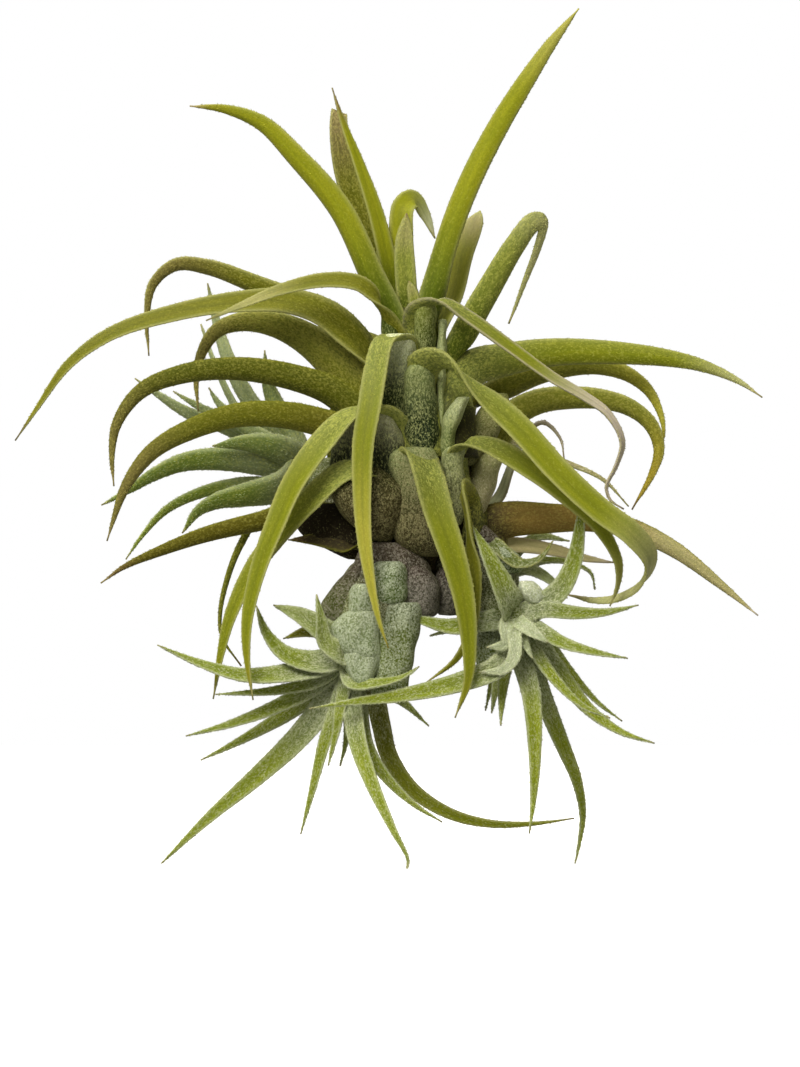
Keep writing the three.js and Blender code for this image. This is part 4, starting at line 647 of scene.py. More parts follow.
# The swollen sheaths at the front of the bulb, each as rows of height, left, right, front and back
FRONT_SHEATHS = {
    "front_hanging": [
        (67, -2, 3.5, -7.6, -3), (72, -3, 3.4, -7.6, -3), (76, -3.2, 3.5, -7.2, -3),
        (80, -3, 3.9, -7.2, -2.5), (83, -2.6, 4.5, -7.6, -2), (85.4, -2.2, 4.9, -8.2, -2),
        (87.2, -1.6, 4.9, -9, -2.5), (88.7, -0.4, 4.2, -9, -3.5),
    ],
    "long_front": [
        (65, 3.8, 8.2, -9.2, -4), (70, 3, 8.6, -9.2, -4), (74, 2.5, 8.4, -8.6, -3.5),
        (78, 2.4, 8.1, -8.2, -3), (81, 2.6, 7.8, -8.8, -3), (83.8, 3.2, 7.3, -9.8, -4),
    ],
    "front_left": [
        (61, -6.6, 2.6, -9.2, -3), (64, -9, 3, -9.8, -3), (67, -9.8, 3.1, -10, -3),
        (70, -9.4, 2.9, -10, -3), (72.5, -8, 2.1, -10.2, -3), (74.4, -6, 1.1, -10.6, -4),
        (76, -4, -0.2, -10.4, -5),
    ],
    "second_front": [
        (56, 9.2, 12.6, -9.6, -5), (60, 9, 13, -9.9, -5), (63, 8.8, 12.9, -9.8, -5),
        (66, 8.6, 12.6, -9.6, -5), (68.4, 8.8, 12.6, -9.8, -5), (70, 9.8, 13.2, -10, -6),
    ],
    "mid_left": [
        (53.6, -1.8, 0.8, -10, -3), (55, -4.4, 1.4, -12, -3), (57, -6.4, 2, -13.2, -3),
        (59, -8.2, 3, -13.8, -3), (61, -9.4, 3.8, -13.8, -3), (63, -9.4, 3, -13.4, -3),
        (65, -8, 0.8, -12.4, -4), (66.6, -6, -1, -11, -5),
    ],
    "front_short": [
        (51.2, 4.6, 8.6, -9.6, -3), (52.2, 2.6, 9.8, -11.2, -3), (53.8, 1, 10.5, -12.2, -3),
        (56, 0.4, 10.8, -12.8, -3), (60, 1, 10.6, -13, -4), (63, 1.2, 10, -12.8, -5),
        (66, 0.2, 9.2, -12.6, -6), (68.4, -0.2, 8.4, -12.4, -7), (69.8, 1.6, 8, -11.8, -8),
    ],
    # Painted shade: low_left's sheath is a near-black shell that fills the shadowed hollow between the left
    # leaves and the bulb
    "low_left": [
        (50.6, -6.4, -2, -5.4, -2), (52.4, -10, -2, -5.8, -2), (54.4, -13.6, -3, -6.2, -2.6),
        (56.6, -15.6, -4, -6.6, -3), (58.8, -15.4, -5, -6.6, -3), (60.6, -13, -5, -6, -3),
    ],
    "right_curl": [
        (57.3, 13.2, 15.6, -3, 4), (60, 12.8, 16.9, -4, 5), (62, 12.8, 17.6, -4, 5),
        (65, 13.2, 18.5, -3.6, 5), (68, 14.6, 19.2, -2, 6), (70.5, 15.8, 19.4, 0, 7),
    ],
    "right_back": [
        (66, 11.4, 14.4, -3, 4), (69, 12, 16.6, -3, 5), (72, 13, 18.6, -2, 6), (74.6, 14.4, 19.6, 0, 7),
        (77, 16, 20.4, 2, 7.6), (79, 17.4, 20.4, 4, 8),
    ],
    "long_right": [
        (66, 8.8, 10.6, -8.6, -2), (69, 8.6, 11, -9, -2), (72, 8.7, 11.3, -9.2, -2),
        (74.6, 9.2, 12.2, -9, -2), (76.6, 10.2, 13.2, -8.6, -2), (78.2, 11.6, 14, -8, -2),
    ],
    "front_arch": [
        (80, 4.4, 7.7, -5.4, 0), (84, 4.5, 7.8, -5.4, 0), (88, 4.4, 8, -5.8, 0),
        (91.4, 4.2, 8.2, -6.8, 0), (93.8, 4.6, 8, -7.8, 0),
    ],
    "right_short": [
        (70, 8, 9.4, -6.4, 0), (76, 8, 9.5, -6.2, 0), (82, 8, 9.6, -5.8, 0),
        (88, 8.2, 9.8, -5.2, 0), (91.4, 8.4, 9.8, -4.8, 0),
    ],
    "top_left": [
        (83, -0.8, 2.4, -5, 0), (87, -0.9, 2.2, -5, 0), (90, -1.1, 1.8, -4.8, 0),
        (92.6, -1.5, 1.2, -4.4, 0),
    ],
}
# The colours of each: at its foot and at its top, and how much the scales cover at either
SHEATH_TONES = {
    # Partly painted light: front_hanging's top is its own pale silver made paler still, for the light that
    # its hanging blade keeps off
    "front_hanging": ((0.03, 0.045, 0.01), (0.8, 0.82, 0.62), 0.6, 1.0),
    "long_front": ((0.009, 0.02, 0.002), (0.24, 0.28, 0.12), 0.6, 0.9),
    # Partly painted light: front_left's top is its own pale silver made paler, for the light it lacks in the
    # shade of the leaves around it
    "front_left": ((0.012, 0.018, 0.003), (0.5, 0.48, 0.36), 0.5, 1.0),
    "second_front": ((0.16, 0.16, 0.09), (0.3, 0.33, 0.17), 0.9, 0.9),
    "mid_left": ((0.055, 0.042, 0.014), (0.035, 0.034, 0.006), 0.7, 0.6),
    "front_short": ((0.065, 0.052, 0.022), (0.21, 0.24, 0.11), 0.8, 1.0),
    # Painted shade: near black from foot to top, for the hollow between the left leaves and the bulb
    "low_left": ((0.02, 0.014, 0.006), (0.01, 0.007, 0.002), 0.3, 0.05),
    # Partly painted light: right_curl's sheath is paler than its own greenish silver, for the light it lacks
    # in shade
    "right_curl": ((0.5, 0.45, 0.3), (0.45, 0.45, 0.22), 0.9, 0.9),
    "right_back": ((0.16, 0.16, 0.06), (0.3, 0.31, 0.1), 0.8, 0.8),
    "long_right": ((0.2, 0.24, 0.1), (0.55, 0.58, 0.4), 0.8, 1.0),
    "front_arch": ((0.05, 0.07, 0.012), (0.27, 0.3, 0.07), 0.8, 0.7),
    "right_short": ((0.3, 0.34, 0.17), (0.42, 0.46, 0.26), 0.9, 0.9),
    "top_left": ((0.03, 0.05, 0.006), (0.11, 0.15, 0.01), 0.6, 0.4),
}
# The sheaths that have the brown skin of the heart
BROWN_SHEATHS = ("mid_left", "front_short", "low_left", "right_curl", "right_back")

# The young leaves that lie on the pups' bulbs, each with its tones and the rows of its swollen back
PUP_SHEATHS = {
    "pup_front": [
        ("brown", [(46, -5, 7, -11, -3), (48.6, -5.6, 7.4, -11.6, -3), (51, -5.6, 6.4, -11.6, -3),
                   (52.8, -4.8, 4.6, -11, -3), (54, -2.6, 1.6, -10, -4)]),
        ("dark", [(39.6, -10, -4, -10, -5), (41.4, -11.4, -4, -11, -5), (44, -11, -4, -11.4, -5),
                  (46.6, -9.2, -4, -11.6, -5), (48.8, -6.8, -4, -11.4, -4), (50.2, -5.8, -4.4, -10.6, -4)]),
        ("mauve", [(41.2, 2.4, 7.4, -11, -3), (42.4, 2.2, 8.6, -12, -3), (45, 2.2, 8.8, -12.6, -3),
                   (47.4, 2.2, 8.4, -12.2, -3), (49.2, 2.2, 7.2, -11.6, -3), (50.2, 2.2, 5.4, -10.8, -4)]),
        ("silver", [(43.4, -2.6, 2.4, -13.7, -5), (44.2, -3.2, 3.2, -14.3, -5), (46.4, -3.4, 3.5, -14.5, -5),
                    (48.6, -3.3, 3.4, -14.3, -5), (50, -2.9, 3, -13.7, -5), (50.8, -1.6, 2, -12.9, -6)]),
        ("green", [(28, -2.4, 3, -13.1, -8), (30, -3, 3.4, -13.7, -8), (33, -2.6, 4, -13.9, -7),
                   (37, -2, 4.8, -14.1, -6), (41, -2, 5.7, -14.1, -6), (43.2, -2, 5.8, -13.9, -6),
                   (44, -2, 5.2, -13.5, -7)]),
        ("pale", [(41.8, -6.3, -2.6, -14.5, -10), (43.2, -6.6, -2.2, -14.8, -9),
                  (45.2, -6.6, -2.1, -14.9, -9), (46.4, -6, -2.4, -14.7, -9), (47, -5.2, -3, -14.3, -10)]),
        ("pale", [(34.6, -6, -1.2, -14.9, -10), (36.2, -8.4, -1.2, -15.3, -9),
                  (38.2, -9.6, -1.2, -15.4, -8), (40, -9.4, -1.4, -15.3, -8),
                  (41.6, -8, -1.7, -15, -9), (42.6, -6.6, -2.2, -14.6, -10)]),
        ("pale", [(30, -5, -3.4, -14.9, -11), (31, -6.2, -2.3, -15.1, -10), (33.4, -7.5, -1.4, -15.1, -9),
                  (35.2, -7.7, -1, -15, -9), (36.4, -7.4, -1, -14.8, -9)]),
    ],
    "pup_right": [
        ("brown", [(52.2, 14.2, 19.6, -7, -1), (53.6, 14, 19.2, -7.8, -1), (55.2, 14, 17.8, -7.6, -1),
                   (56.9, 14.4, 16.2, -6.6, -2)]),
        ("mauve", [(41.4, 8.6, 12, -7, -3), (43, 7.7, 12.6, -8, -2), (46, 7.6, 12.7, -8.6, -2),
                   (48.6, 8, 12.4, -8.2, -2), (50, 9, 12, -7.4, -3)]),
        ("dark", [(40.8, 14.8, 18.2, -9.6, -5), (43, 14.6, 18.2, -10.4, -4),
                  (46.6, 14.4, 17.4, -10.6, -4), (50.6, 14.6, 17, -9.6, -4)]),
        ("green", [(31, 14.6, 17.6, -9.6, -5), (34, 14.6, 18.8, -10, -5), (38, 14.6, 19.2, -10, -4),
                   (41.4, 15, 19.4, -10, -4)]),
        ("silver", [(48.4, 17.6, 21.4, -8.6, -3), (50, 16.8, 23.2, -9.6, -3), (51.6, 16.8, 22, -9.8, -3),
                    (53.3, 17.6, 19.6, -8.6, -4)]),
        ("white", [(43.6, 23.4, 25.6, -11, -7), (44.6, 22, 26.4, -11.6, -6), (46.2, 21.6, 25.4, -11.8, -6),
                   (47.6, 22, 23.8, -11, -7)]),
    ],
}
# The colours of these, in the order of SHEATH_TONES
PAD_TONES = {
    "brown": ((0.06, 0.045, 0.035), (0.085, 0.062, 0.05), 0.7, 0.7),
    "dark": ((0.1, 0.11, 0.035), (0.075, 0.055, 0.045), 0.8, 0.7),
    "mauve": ((0.1, 0.09, 0.085), (0.07, 0.045, 0.045), 0.9, 0.7),
    "silver": ((0.13, 0.18, 0.06), (0.2, 0.23, 0.15), 0.9, 1.0),
    "green": ((0.17, 0.21, 0.05), (0.16, 0.18, 0.12), 0.8, 1.0),
    "pale": ((0.28, 0.33, 0.2), (0.36, 0.4, 0.28), 1.0, 1.0),
    "white": ((0.7, 0.72, 0.6), (0.85, 0.86, 0.74), 1.0, 1.0),
}


# The branch to a pup, as rows of the share of its length and the radius
BRANCH_ROWS = [(0, 2.1), (0.6, 1.5), (1, 1.5)]

# The leaves at the heart of the mother, each as its width and its midrib
HEART_LEAVES = {
    "young": (3.4, [(3.6, -0.4, 88), (3, -1, 97), (2.7, -1, 103), (3.1, -0.8, 108.6)]),
    "new": (2, [(4.4, -2, 88), (4.6, -2.8, 93), (3.5, -3, 97.3)]),
}

# The seeds by which the patterns of these leaves differ from those of the mother's
HEART_SEED = 80
PUP_SEED = 50

# The pads that have the skin of the old sheaths, and the leaves that have golden scales, by their tones
MAUVE_PADS = ("brown", "dark", "mauve")
GOLDEN_TONES = ("olive", "deep", "brown_olive")

# The skin of each slot: the material's name, scales in 1/mm, their length in widths, their colour and
# how strongly they show, roughness, sheen, height of the relief in millimetres, and light let through
SKINS = {
    "leaf_bright": ("bright_skin", 3.4, 1.8, LIME_SCALE, 0.6, 0.5, 0.06, 0.05, 0.12),
    "leaf_olive": ("olive_skin", 3.4, 1.8, GOLD_SCALE, 0.5, 0.5, 0.05, 0.06, 0.1),
    "leaf_deep": ("deep_skin", 3.4, 1.6, GOLD_SCALE, 0.5, 0.55, 0.05, 0.07, 0.08),
    "leaf_brown": ("brown_skin", 3.4, 1.6, GOLD_SCALE, 0.45, 0.6, 0.05, 0.07, 0.06),
    "leaf_silver": ("silver_skin", 4.2, 2.0, SILVER_SCALE, 0.62, 0.6, 0.1, 0.08, 0.1),
    "leaf_dry": ("dried_skin", 2.6, 2.5, DRIED, 0.4, 0.75, 0.05, 0.1, 0.05),
    "pad": ("pad_skin", 3.0, 1.2, PAD_SCALE, 0.85, 0.7, 0.1, 0.12, 0.05),
    "heart": ("heart_skin", 3.0, 1.2, HEART_SCALE, 0.6, 0.75, 0.05, 0.1, 0.0),
    "sheath": ("sheath_skin", 3.4, 1.8, SHEATH_SCALE, 0.6, 0.6, 0.08, 0.06, 0.08),
    "mauve": ("mauve_skin", 3.0, 1.2, MAUVE_SCALE, 0.6, 0.75, 0.05, 0.1, 0.0),
}
# The slot that each row of TONES goes in
SLOTS = {
    "fresh": "leaf_bright", "sheen": "leaf_bright", "pup_green": "leaf_bright",
    "bright": "leaf_bright", "olive": "leaf_olive", "deep": "leaf_deep", "brown_olive": "leaf_brown",
    "silver": "leaf_silver", "dry": "leaf_dry", "pup": "leaf_silver",
}


# Lines and blades
def unit(vectors):
    return vectors / np.linalg.norm(vectors, axis=-1, keepdims=True)


def smooth(values, low, high):
    """0 below low, 1 above high, and an easy rise between them."""
    share = np.clip((values - low) / (high - low), 0, 1)
    return share * share * (3 - 2 * share)


def blend(first, second, share):
    return first + (np.asarray(second) - first) * np.asarray(share)[..., None]


def in_frame(points):
    """Places given in millimetres from the heart's depth, as metres in the frame."""
    return (np.asarray(points, float) - (0, DEPTH_MIDDLE, 0)) * MM


def heart_axis(height):
    """The point of the heart's axis at a height."""
    share = (height - HEART_FOOT[2]) / (HEART_CROWN[2] - HEART_FOOT[2])
    return HEART_FOOT + (HEART_CROWN - HEART_FOOT) * share


def heart_radius(height):
    heights, radii = zip(*HEART_OUTLINE)
    return np.interp(height, heights, radii)


def seat(azimuth, height, layer):
    """A point on the heart's side where a sheath lies. Azimuth 0 is +X, 270 the front."""
    reach = heart_radius(height) + GAP + LEAF_THICK / 2 + layer * LAYER
    turn = math.radians(azimuth)
    return heart_axis(height) + reach * np.array([math.cos(turn), math.sin(turn), 0])


def smooth_curve(points):
    """A centripetal curve through the points, as dense places."""
    points = np.asarray(points, float)
    ends = np.vstack([2 * points[0] - points[1], points, 2 * points[-1] - points[-2]])
    spans = len(points) - 1
    place = np.linspace(0, spans, CURVE_STEPS + 1)
    first = np.minimum(place.astype(int), spans - 1)
    weight = (place - first)[:, None]
    a, b, c, d = (ends[first + k] for k in range(4))
    knots = [np.sqrt(np.linalg.norm(q - p, axis=1))[:, None] for p, q in ((a, b), (b, c), (c, d))]
    before, here, after = (np.maximum(k, 1e-4) for k in knots)
    leave = ((b - a) / before - (c - a) / (before + here) + (c - b) / here) * here
    arrive = ((c - b) / here - (d - b) / (here + after) + (d - c) / after) * here
    cubic = 2 * b - 2 * c + leave + arrive
    square = -3 * b + 3 * c - 2 * leave - arrive
    return b + leave * weight + square * weight**2 + cubic * weight**3


class Blade:
    """A channelled band along a midrib, which gives any point of its skin and that point's colour."""

    def __init__(self, points, face, look, width, thick, roll, tones, end_from=END_FROM, seed=0.0,
                 look_from=LOOK_FROM):
        self.points = smooth_curve(points)
        steps = np.diff(self.points, axis=0)
        self.along = np.concatenate([[0], np.cumsum(np.linalg.norm(steps, axis=1))])
        self.length = self.along[-1]
        self.share = self.along / self.length
        self.tangents = unit(np.gradient(self.points, axis=0))
        self.ups = self.turn_face(np.asarray(face, float), look, look_from)
        self.width, self.thick, self.roll = width, thick, roll
        self.tones = tones
        self.end_from = end_from
        self.seed = seed
        turned = np.arccos(np.clip((self.tangents[1:] * self.tangents[:-1]).sum(1), -1, 1))
        worth = np.concatenate([[0], np.cumsum(np.linalg.norm(steps, axis=1) + BEND_RINGS * turned)])
        self.worth = worth / worth[-1]

    def turn_face(self, face, look, look_from):
        """The face follows the bend; once that shows it towards the look, it turns there and stays."""
        ups = np.empty_like(self.points)
        normal, start = face, None
        for i, (tangent, share) in enumerate(zip(self.tangents, self.share)):
            normal = unit(normal - tangent * (normal @ tangent))
            up = normal
            if look is not None:
                goal = unit(np.asarray(look) - tangent * (np.asarray(look) @ tangent))
                if look_from < 0:
                    start = look_from
                ready = normal @ goal > FACE_MEETS_LOOK or share > LATEST_TURN
                if start is None and ready and share >= look_from:
                    start = share
                if start is not None:
                    up = normal + (goal - normal) * smooth(share, start, start + LOOK_SPAN)
                    up = unit(up - tangent * (up @ tangent))
                    if share >= start + LOOK_SPAN:
                        normal, look = up, None
            ups[i] = up
        return ups

    def spread(self, place):
        """Shares of the length for evenly spaced rings, closer together where the midrib bends."""
        return np.interp(place, self.worth, self.share)

    def skin(self, share, across, through):
        """Points of the skin: across from -1 to 1, and through 1 on the face and -1 on the back."""
        pick = [np.stack([np.interp(share, self.share, part[:, k]) for k in range(3)], -1)
                for part in (self.points, self.tangents, self.ups)]
        middle, tangent, up = pick[0], unit(pick[1]), pick[2]
        up = unit(up - tangent * (up * tangent).sum(-1, keepdims=True))
        side = np.cross(up, tangent)
        half = np.maximum(self.width(share), TIP_WIDTH) / 2
        bend = np.radians(self.roll(share))
        radius = half / np.sin(bend)
        swell = RIM_THICK + (1 - RIM_THICK) * (1 - np.abs(across) ** THINS)
        deep = np.minimum(self.thick(share) / 2, radius * FULLEST) * swell
        reach = radius - through * deep
        angle = across * bend
        rise = (radius - reach * np.cos(angle))[..., None]
        aside = (reach * np.sin(angle))[..., None]
        return middle + up * rise + side * aside

    def paint(self, share, across, through):
        """The colour of the skin and how much of it the scales cover."""
        tones = self.tones
        sheath_cover, neck_cover, face_cover, back_cover = tones["cover"]
        facing = (through > 0).astype(float)
        blade = blend(np.array(tones["back"]), tones["blade"], facing)
        colour = blend(np.array(tones["root"]), tones["neck"], smooth(share, *ROOT_TO_NECK))
        colour = blend(colour, blade, smooth(share, *NECK_TO_BLADE))
        end_to = min(1, self.end_from + END_SPAN)
        colour = blend(colour, tones["end"], smooth(share, self.end_from, end_to))
        colour = blend(colour, tones["tip"], smooth(share, TIP_FROM, 1))
        rim = smooth(np.abs(across), RIM_FROM, 1) * smooth(share, 0.05, 0.2)
        colour = blend(colour, tones["rim"], RIM_PALES * rim)
        # Painted light and shade: a highlight along the keel of the back, and shade down the channel of the
        # face
        keel = np.exp(-((across / KEEL) ** 2)) * (1 - 2 * facing)
        colour = colour * (1 + KEEL_LIGHT_AND_SHADE * keel)[..., None]
        cover = back_cover + (face_cover - back_cover) * facing
        cover = cover + (neck_cover - cover) * (1 - smooth(share, *NECK_COVER_FADES))
        cover = cover + (sheath_cover - cover) * (1 - smooth(share, *ROOT_TO_NECK))
        return colour, cover


def deselect():
    if bpy.context.object and bpy.context.object.mode != "OBJECT":
        bpy.ops.object.mode_set(mode="OBJECT")
    bpy.ops.object.select_all(action="DESELECT")


def in_scene(name, data):
    """A new object in the scene, made of the data."""
    made = bpy.data.objects.new(name, data)
    bpy.context.scene.collection.objects.link(made)
    return made


def cut_edges(piece, axis, cuts):
    """Cuts every edge that runs along the axis, as loop cuts do."""
    mesh = piece.data
    bpy.context.tool_settings.mesh_select_mode = (False, True, False)
    for part in (mesh.vertices, mesh.polygons):
        part.foreach_set("select", [False] * len(part))
    for edge in mesh.edges:
        first, second = (mesh.vertices[v].co for v in edge.vertices)
        run = second - first
        edge.select = abs(run[axis]) > 0.9 * run.length
    bpy.ops.object.mode_set(mode="EDIT")
    bpy.ops.mesh.subdivide(number_cuts=cuts)
    bpy.ops.object.mode_set(mode="OBJECT")


def blade_blank(name, rings, strips):
    """A flat bar with the rings and strips of a blade, to be copied and laid along a midrib."""
    deselect()
    bpy.ops.mesh.primitive_cube_add(size=2, location=(0, 0, 0))
    blank = bpy.context.object
    blank.name = name
    cut_edges(blank, 0, rings - 1)
    cut_edges(blank, 1, strips - 1)
    return blank


def places(mesh):
    found = np.empty(len(mesh.vertices) * 3)
    mesh.vertices.foreach_get("co", found)
    return found.reshape(-1, 3)


def give_skin(mesh, points, spots, colours, cover):
    """Writes the places, and the attributes that the skin materials read."""
    mesh.vertices.foreach_set("co", in_frame(points).ravel())
    place = mesh.attributes.new("skin_place", "FLOAT_VECTOR", "POINT")
    place.data.foreach_set("vector", np.ascontiguousarray(spots, float).ravel())
    tint = mesh.attributes.new("skin_tint", "FLOAT_COLOR", "POINT")
    tint.data.foreach_set("color", np.column_stack([colours, np.ones(len(colours))]).ravel())
    felted = mesh.attributes.new("skin_cover", "FLOAT", "POINT")
    felted.data.foreach_set("value", np.asarray(cover, float))
    mesh.polygons.foreach_set("use_smooth", [True] * len(mesh.polygons))
    mesh.update()


def lay(blank, name, blade):
    """A copy of the blank, laid along the blade's midrib."""
    mesh = blank.data.copy()
    mesh.name = name
    x, across, through = places(mesh).T
    share = blade.spread((x + 1) / 2)
    points = blade.skin(share, across, through)
    colours, cover = blade.paint(share, across, through)
    half = np.maximum(blade.width(share), TIP_WIDTH) / 2
    deep = 3 * through + PATTERN_STEP * blade.seed
    spots = np.column_stack([across * half, share * blade.length, deep])
    give_skin(mesh, points, spots, colours, cover)
    return in_scene(name, mesh)


def joined(pieces, name):
    deselect()
    for piece in pieces:
        piece.select_set(True)
    bpy.context.view_layer.objects.active = pieces[0]
    bpy.ops.object.join()
    made = bpy.context.object
    made.name = name
    made.data.name = name
    return made


def blade_width(blade, sheath, flare, taper):
    """The width along a leaf, from its sheath over its blade to its tip."""
    def width(share):
        widened = np.maximum(0, 1 - share / flare) ** SHEATH_FALL
        return (blade + (sheath - blade) * widened) * (1 - share**taper)
    return width


def mother_blade(spec, seed):
    """A leaf of the mother: up the heart's side in its sheath, and on along its path."""
    foot, top = spec["rise"]
    layer = spec.get("layer", 0)
    blade = spec["blade"]
    at = spec["at"]
    blade_roll = spec.get("roll", BLADE_ROLL)
    root = [seat(at, height, layer) for height in (foot, (foot + top) / 2, top)]
    return Blade(
        points=[*root, *spec["path"]],
        face=heart_axis(foot) - root[0],
        look=spec.get("look"),
        width=blade_width(
            blade, spec.get("sheath", blade * SHEATH_WIDENS), spec.get("flare", SHEATH_SHARE),
            spec.get("taper", TIP_FALL),
        ),
        thick=lambda share: LEAF_THICK + (TIP_THICK - LEAF_THICK) * share,
        roll=lambda share: SHEATH_ROLL + (blade_roll - SHEATH_ROLL) * np.minimum(1, share / ROLL_OPENS),
        tones={**TONES[spec["tones"]], **spec.get("colours", {})},
        look_from=spec.get("look_from", LOOK_FROM),
        end_from=spec.get("end_from", END_FROM),
        seed=seed,
    )


def heart_blade(wide, path, seed):
    """A leaf that is still rolled up at the heart."""
    return Blade(
        points=path,
        face=np.array((0, -1, 0.1)),
        look=None,
        width=lambda share: wide * (1 - share**7),
        thick=lambda share: LEAF_THICK + 0 * share,
        roll=lambda share: HEART_ROLL + 0 * share,
        tones={**TONES["sheen"], "end": PALE_OLIVE, "tip": BROWN_END},
        end_from=0.6,
        seed=seed,
    )


def pup_blade(pup, leaf, number, seed):
    """A pup's leaf: lime green where it hangs low, silvery and blunt where it is short and young."""
    blade, *path = leaf
    brown = number in pup.get("brown", ())
    tones = dict(TONES["olive" if brown else pup.get("tones", "pup")])
    lime = pup.get("lime", LIME_SHARE) * smooth(pup["centre"][2] - path[-1][2], *LIME_DROP)
    length = np.linalg.norm(np.diff([pup["centre"], *path], axis=0), axis=1).sum()
    by_length = 0 if brown else YOUNG_SHARE * (1 - smooth(length, *YOUNG_LENGTH))
    young = pup.get("young", {}).get(number, by_length)
    taper = PUP_TIP_FALL + YOUNG_TIP_FALL * young
    wide = blade * pup.get("width", PUP_WIDENS)
    for part in ("blade", "end", "back"):
        grown = np.array(tones[part]) * (1 - lime) + np.array(PUP_LIME) * lime
        tones[part] = grown * (1 - young) + np.array(YOUNG_SILVER) * young
    return Blade(
        points=[pup["centre"], *path],
        face=pup["facing"],
        look=PUP_LOOK if number in pup.get("shown", ()) else None,
        width=lambda share: wide * (1 - share**taper) * np.minimum(1, PUP_ROOT_WIDTH + 2 * share),
        thick=lambda share: PUP_LEAF_THICK + (TIP_THICK - PUP_LEAF_THICK) * share,
        roll=lambda share: PUP_ROLL + 0 * share,
        tones=tones,
        seed=seed,
    )


# Turned bodies and swollen sheaths
def turned_blank(name, rings, sides):
    """An upright drum with rings, to be copied and shaped as a turned body."""
    deselect()
    bpy.ops.mesh.primitive_cylinder_add(
        vertices=sides, radius=1, depth=2, end_fill_type="TRIFAN", location=(0, 0, 0)
    )
    blank = bpy.context.object
    blank.name = name
    cut_edges(blank, 2, rings - 1)
    return blank


def across_axis(axis):
    """Two directions square to the axis and to each other."""
    axis = unit(np.asarray(axis, float))
    first = unit(np.cross(axis, (0, 1, 0) if abs(axis[1]) < 0.9 else (1, 0, 0)))
    return first, np.cross(axis, first)


def turned(blank, name, foot, top, rows, ridges, root, end, cover, seed):
    """A copy of the drum, shaped round the line from foot to top, with ridges where sheaths overlap."""
    foot, top = np.asarray(foot, float), np.asarray(top, float)
    mesh = blank.data.copy()
    x, y, z = places(mesh).T
    share = (z + 1) / 2
    marks, radii = (np.array(part, float) for part in zip(*rows))
    share_run = marks[0] + (marks[-1] - marks[0]) * share
    radius = np.interp(share_run, marks, radii)
    for _ in range(2):
        beside = [np.interp(share_run + step, marks, radii) for step in (-OUTLINE_SOFT, OUTLINE_SOFT)]
        radius = 0.5 * radius + 0.25 * (beside[0] + beside[1])
    angle = np.arctan2(y, x)
    wave = np.abs(np.sin(ridges * angle / 2 + 2.2 * share + seed))
    radius = radius * (RIDGE_FOOT + RIDGE * wave)
    first, second = across_axis(top - foot)
    out = np.hypot(x, y)[:, None] * (
        np.cos(angle)[:, None] * first + np.sin(angle)[:, None] * second
    )
    points = foot + (top - foot) * share_run[:, None] + out * radius[:, None]
    # Painted shade: the hollows between its ridges are darker; they are barer of scales too
    colours = blend(np.array(root), end, smooth(share, 0.1, 0.9))
    colours = colours * (0.75 + 0.3 * wave)[:, None]
    give_skin(mesh, points, points, colours, cover * (0.6 + 0.4 * wave))
    return in_scene(name, mesh)


class Shell:
    """A swollen sheath between rows of height, left, right, front and back, all in millimetres. It gives
    its skin and its colours as a Blade does."""

    def __init__(self, rows, tones, seed, rounding=SHEATH_ROUNDING):
        self.rows = np.array(rows, float)
        self.marks = np.linspace(0, 1, len(rows))
        self.tones, self.seed, self.rounding = tones, seed, rounding
        self.length = self.rows[-1, 0] - self.rows[0, 0]
        self.girth = 2.6 * (self.rows[:, 2] - self.rows[:, 1]).mean()

    def spread(self, place):
        return place

    def row(self, share):
        """Height, left, right, front and back at a share of the way up, rounded between the rows."""
        share = np.clip(share, 0, 1)
        soft = 0.35 / (len(self.marks) - 1)
        return [
            sum(
                weight * np.interp(share + shift, self.marks, column)
                for shift, weight in ((-soft, 0.3), (0, 0.4), (soft, 0.3))
            )
            for column in self.rows.T
        ]

    def skin(self, share, across, through):
        """Points of the skin: across runs once round, with 0 at the front."""
        height, left, right, front, back = self.row(share)
        ends = (1 - np.minimum(1, np.abs(2 * share - 1)) ** self.rounding) ** (1 / self.rounding)
        turn = across * math.pi
        aside = np.sign(np.sin(turn)) * np.abs(np.sin(turn)) ** SQUARED
        before = np.sign(np.cos(turn)) * np.abs(np.cos(turn)) ** SQUARED
        x = (left + right) / 2 + (right - left) / 2 * ends * aside
        y = (front + back) / 2 + (front - back) / 2 * (0.25 + 0.75 * ends) * before
        ribs = RIB * np.sin(2.1 * x + 1.4 * np.sin(0.4 * height + self.seed)) * ends
        lumps = LUMP * np.sin(1.2 * x + 3 * self.seed) * np.sin(0.8 * height + 5 * self.seed) * ends
        sway = SWAY * np.sin(1.3 * height + 2 * self.seed) * ends * aside
        return np.stack([x + sway, y - (ribs + lumps) * before, height], -1)

    def paint(self, share, across, through):
        foot, top, foot_cover, top_cover = self.tones
        colour = blend(np.tile(np.array(foot), (*np.shape(share), 1)), top, smooth(share, 0.35, 0.95))
        edge = smooth(np.abs(np.sin(across * math.pi)), 0.7, 1)
        colour = colour * (1 + 0.25 * edge[..., None])
        return colour, foot_cover + (top_cover - foot_cover) * smooth(share, 0.3, 1) + 0 * share


def swell(blank, name, shell):
    """A copy of the drum, shaped as the shell."""
    mesh = blank.data.copy()
    mesh.name = name
    x, y, z = places(mesh).T
    share = (z + 1) / 2
    across = np.arctan2(x, -y) / math.pi
    middle = shell.skin(share, 0 * share, 0 * share)
    middle = (middle + shell.skin(share, 0 * share + 1, 0 * share)) / 2
    out = np.hypot(x, y)[:, None]
    points = middle + (shell.skin(share, across, 0 * share) - middle) * out
    colours, cover = shell.paint(share, across, 0 * share)
    deep = points[:, 1] + PATTERN_STEP * shell.seed
    spots = np.column_stack([points[:, 0], points[:, 2], deep])
    give_skin(mesh, points, spots, colours, cover)
    return in_scene(name, mesh)


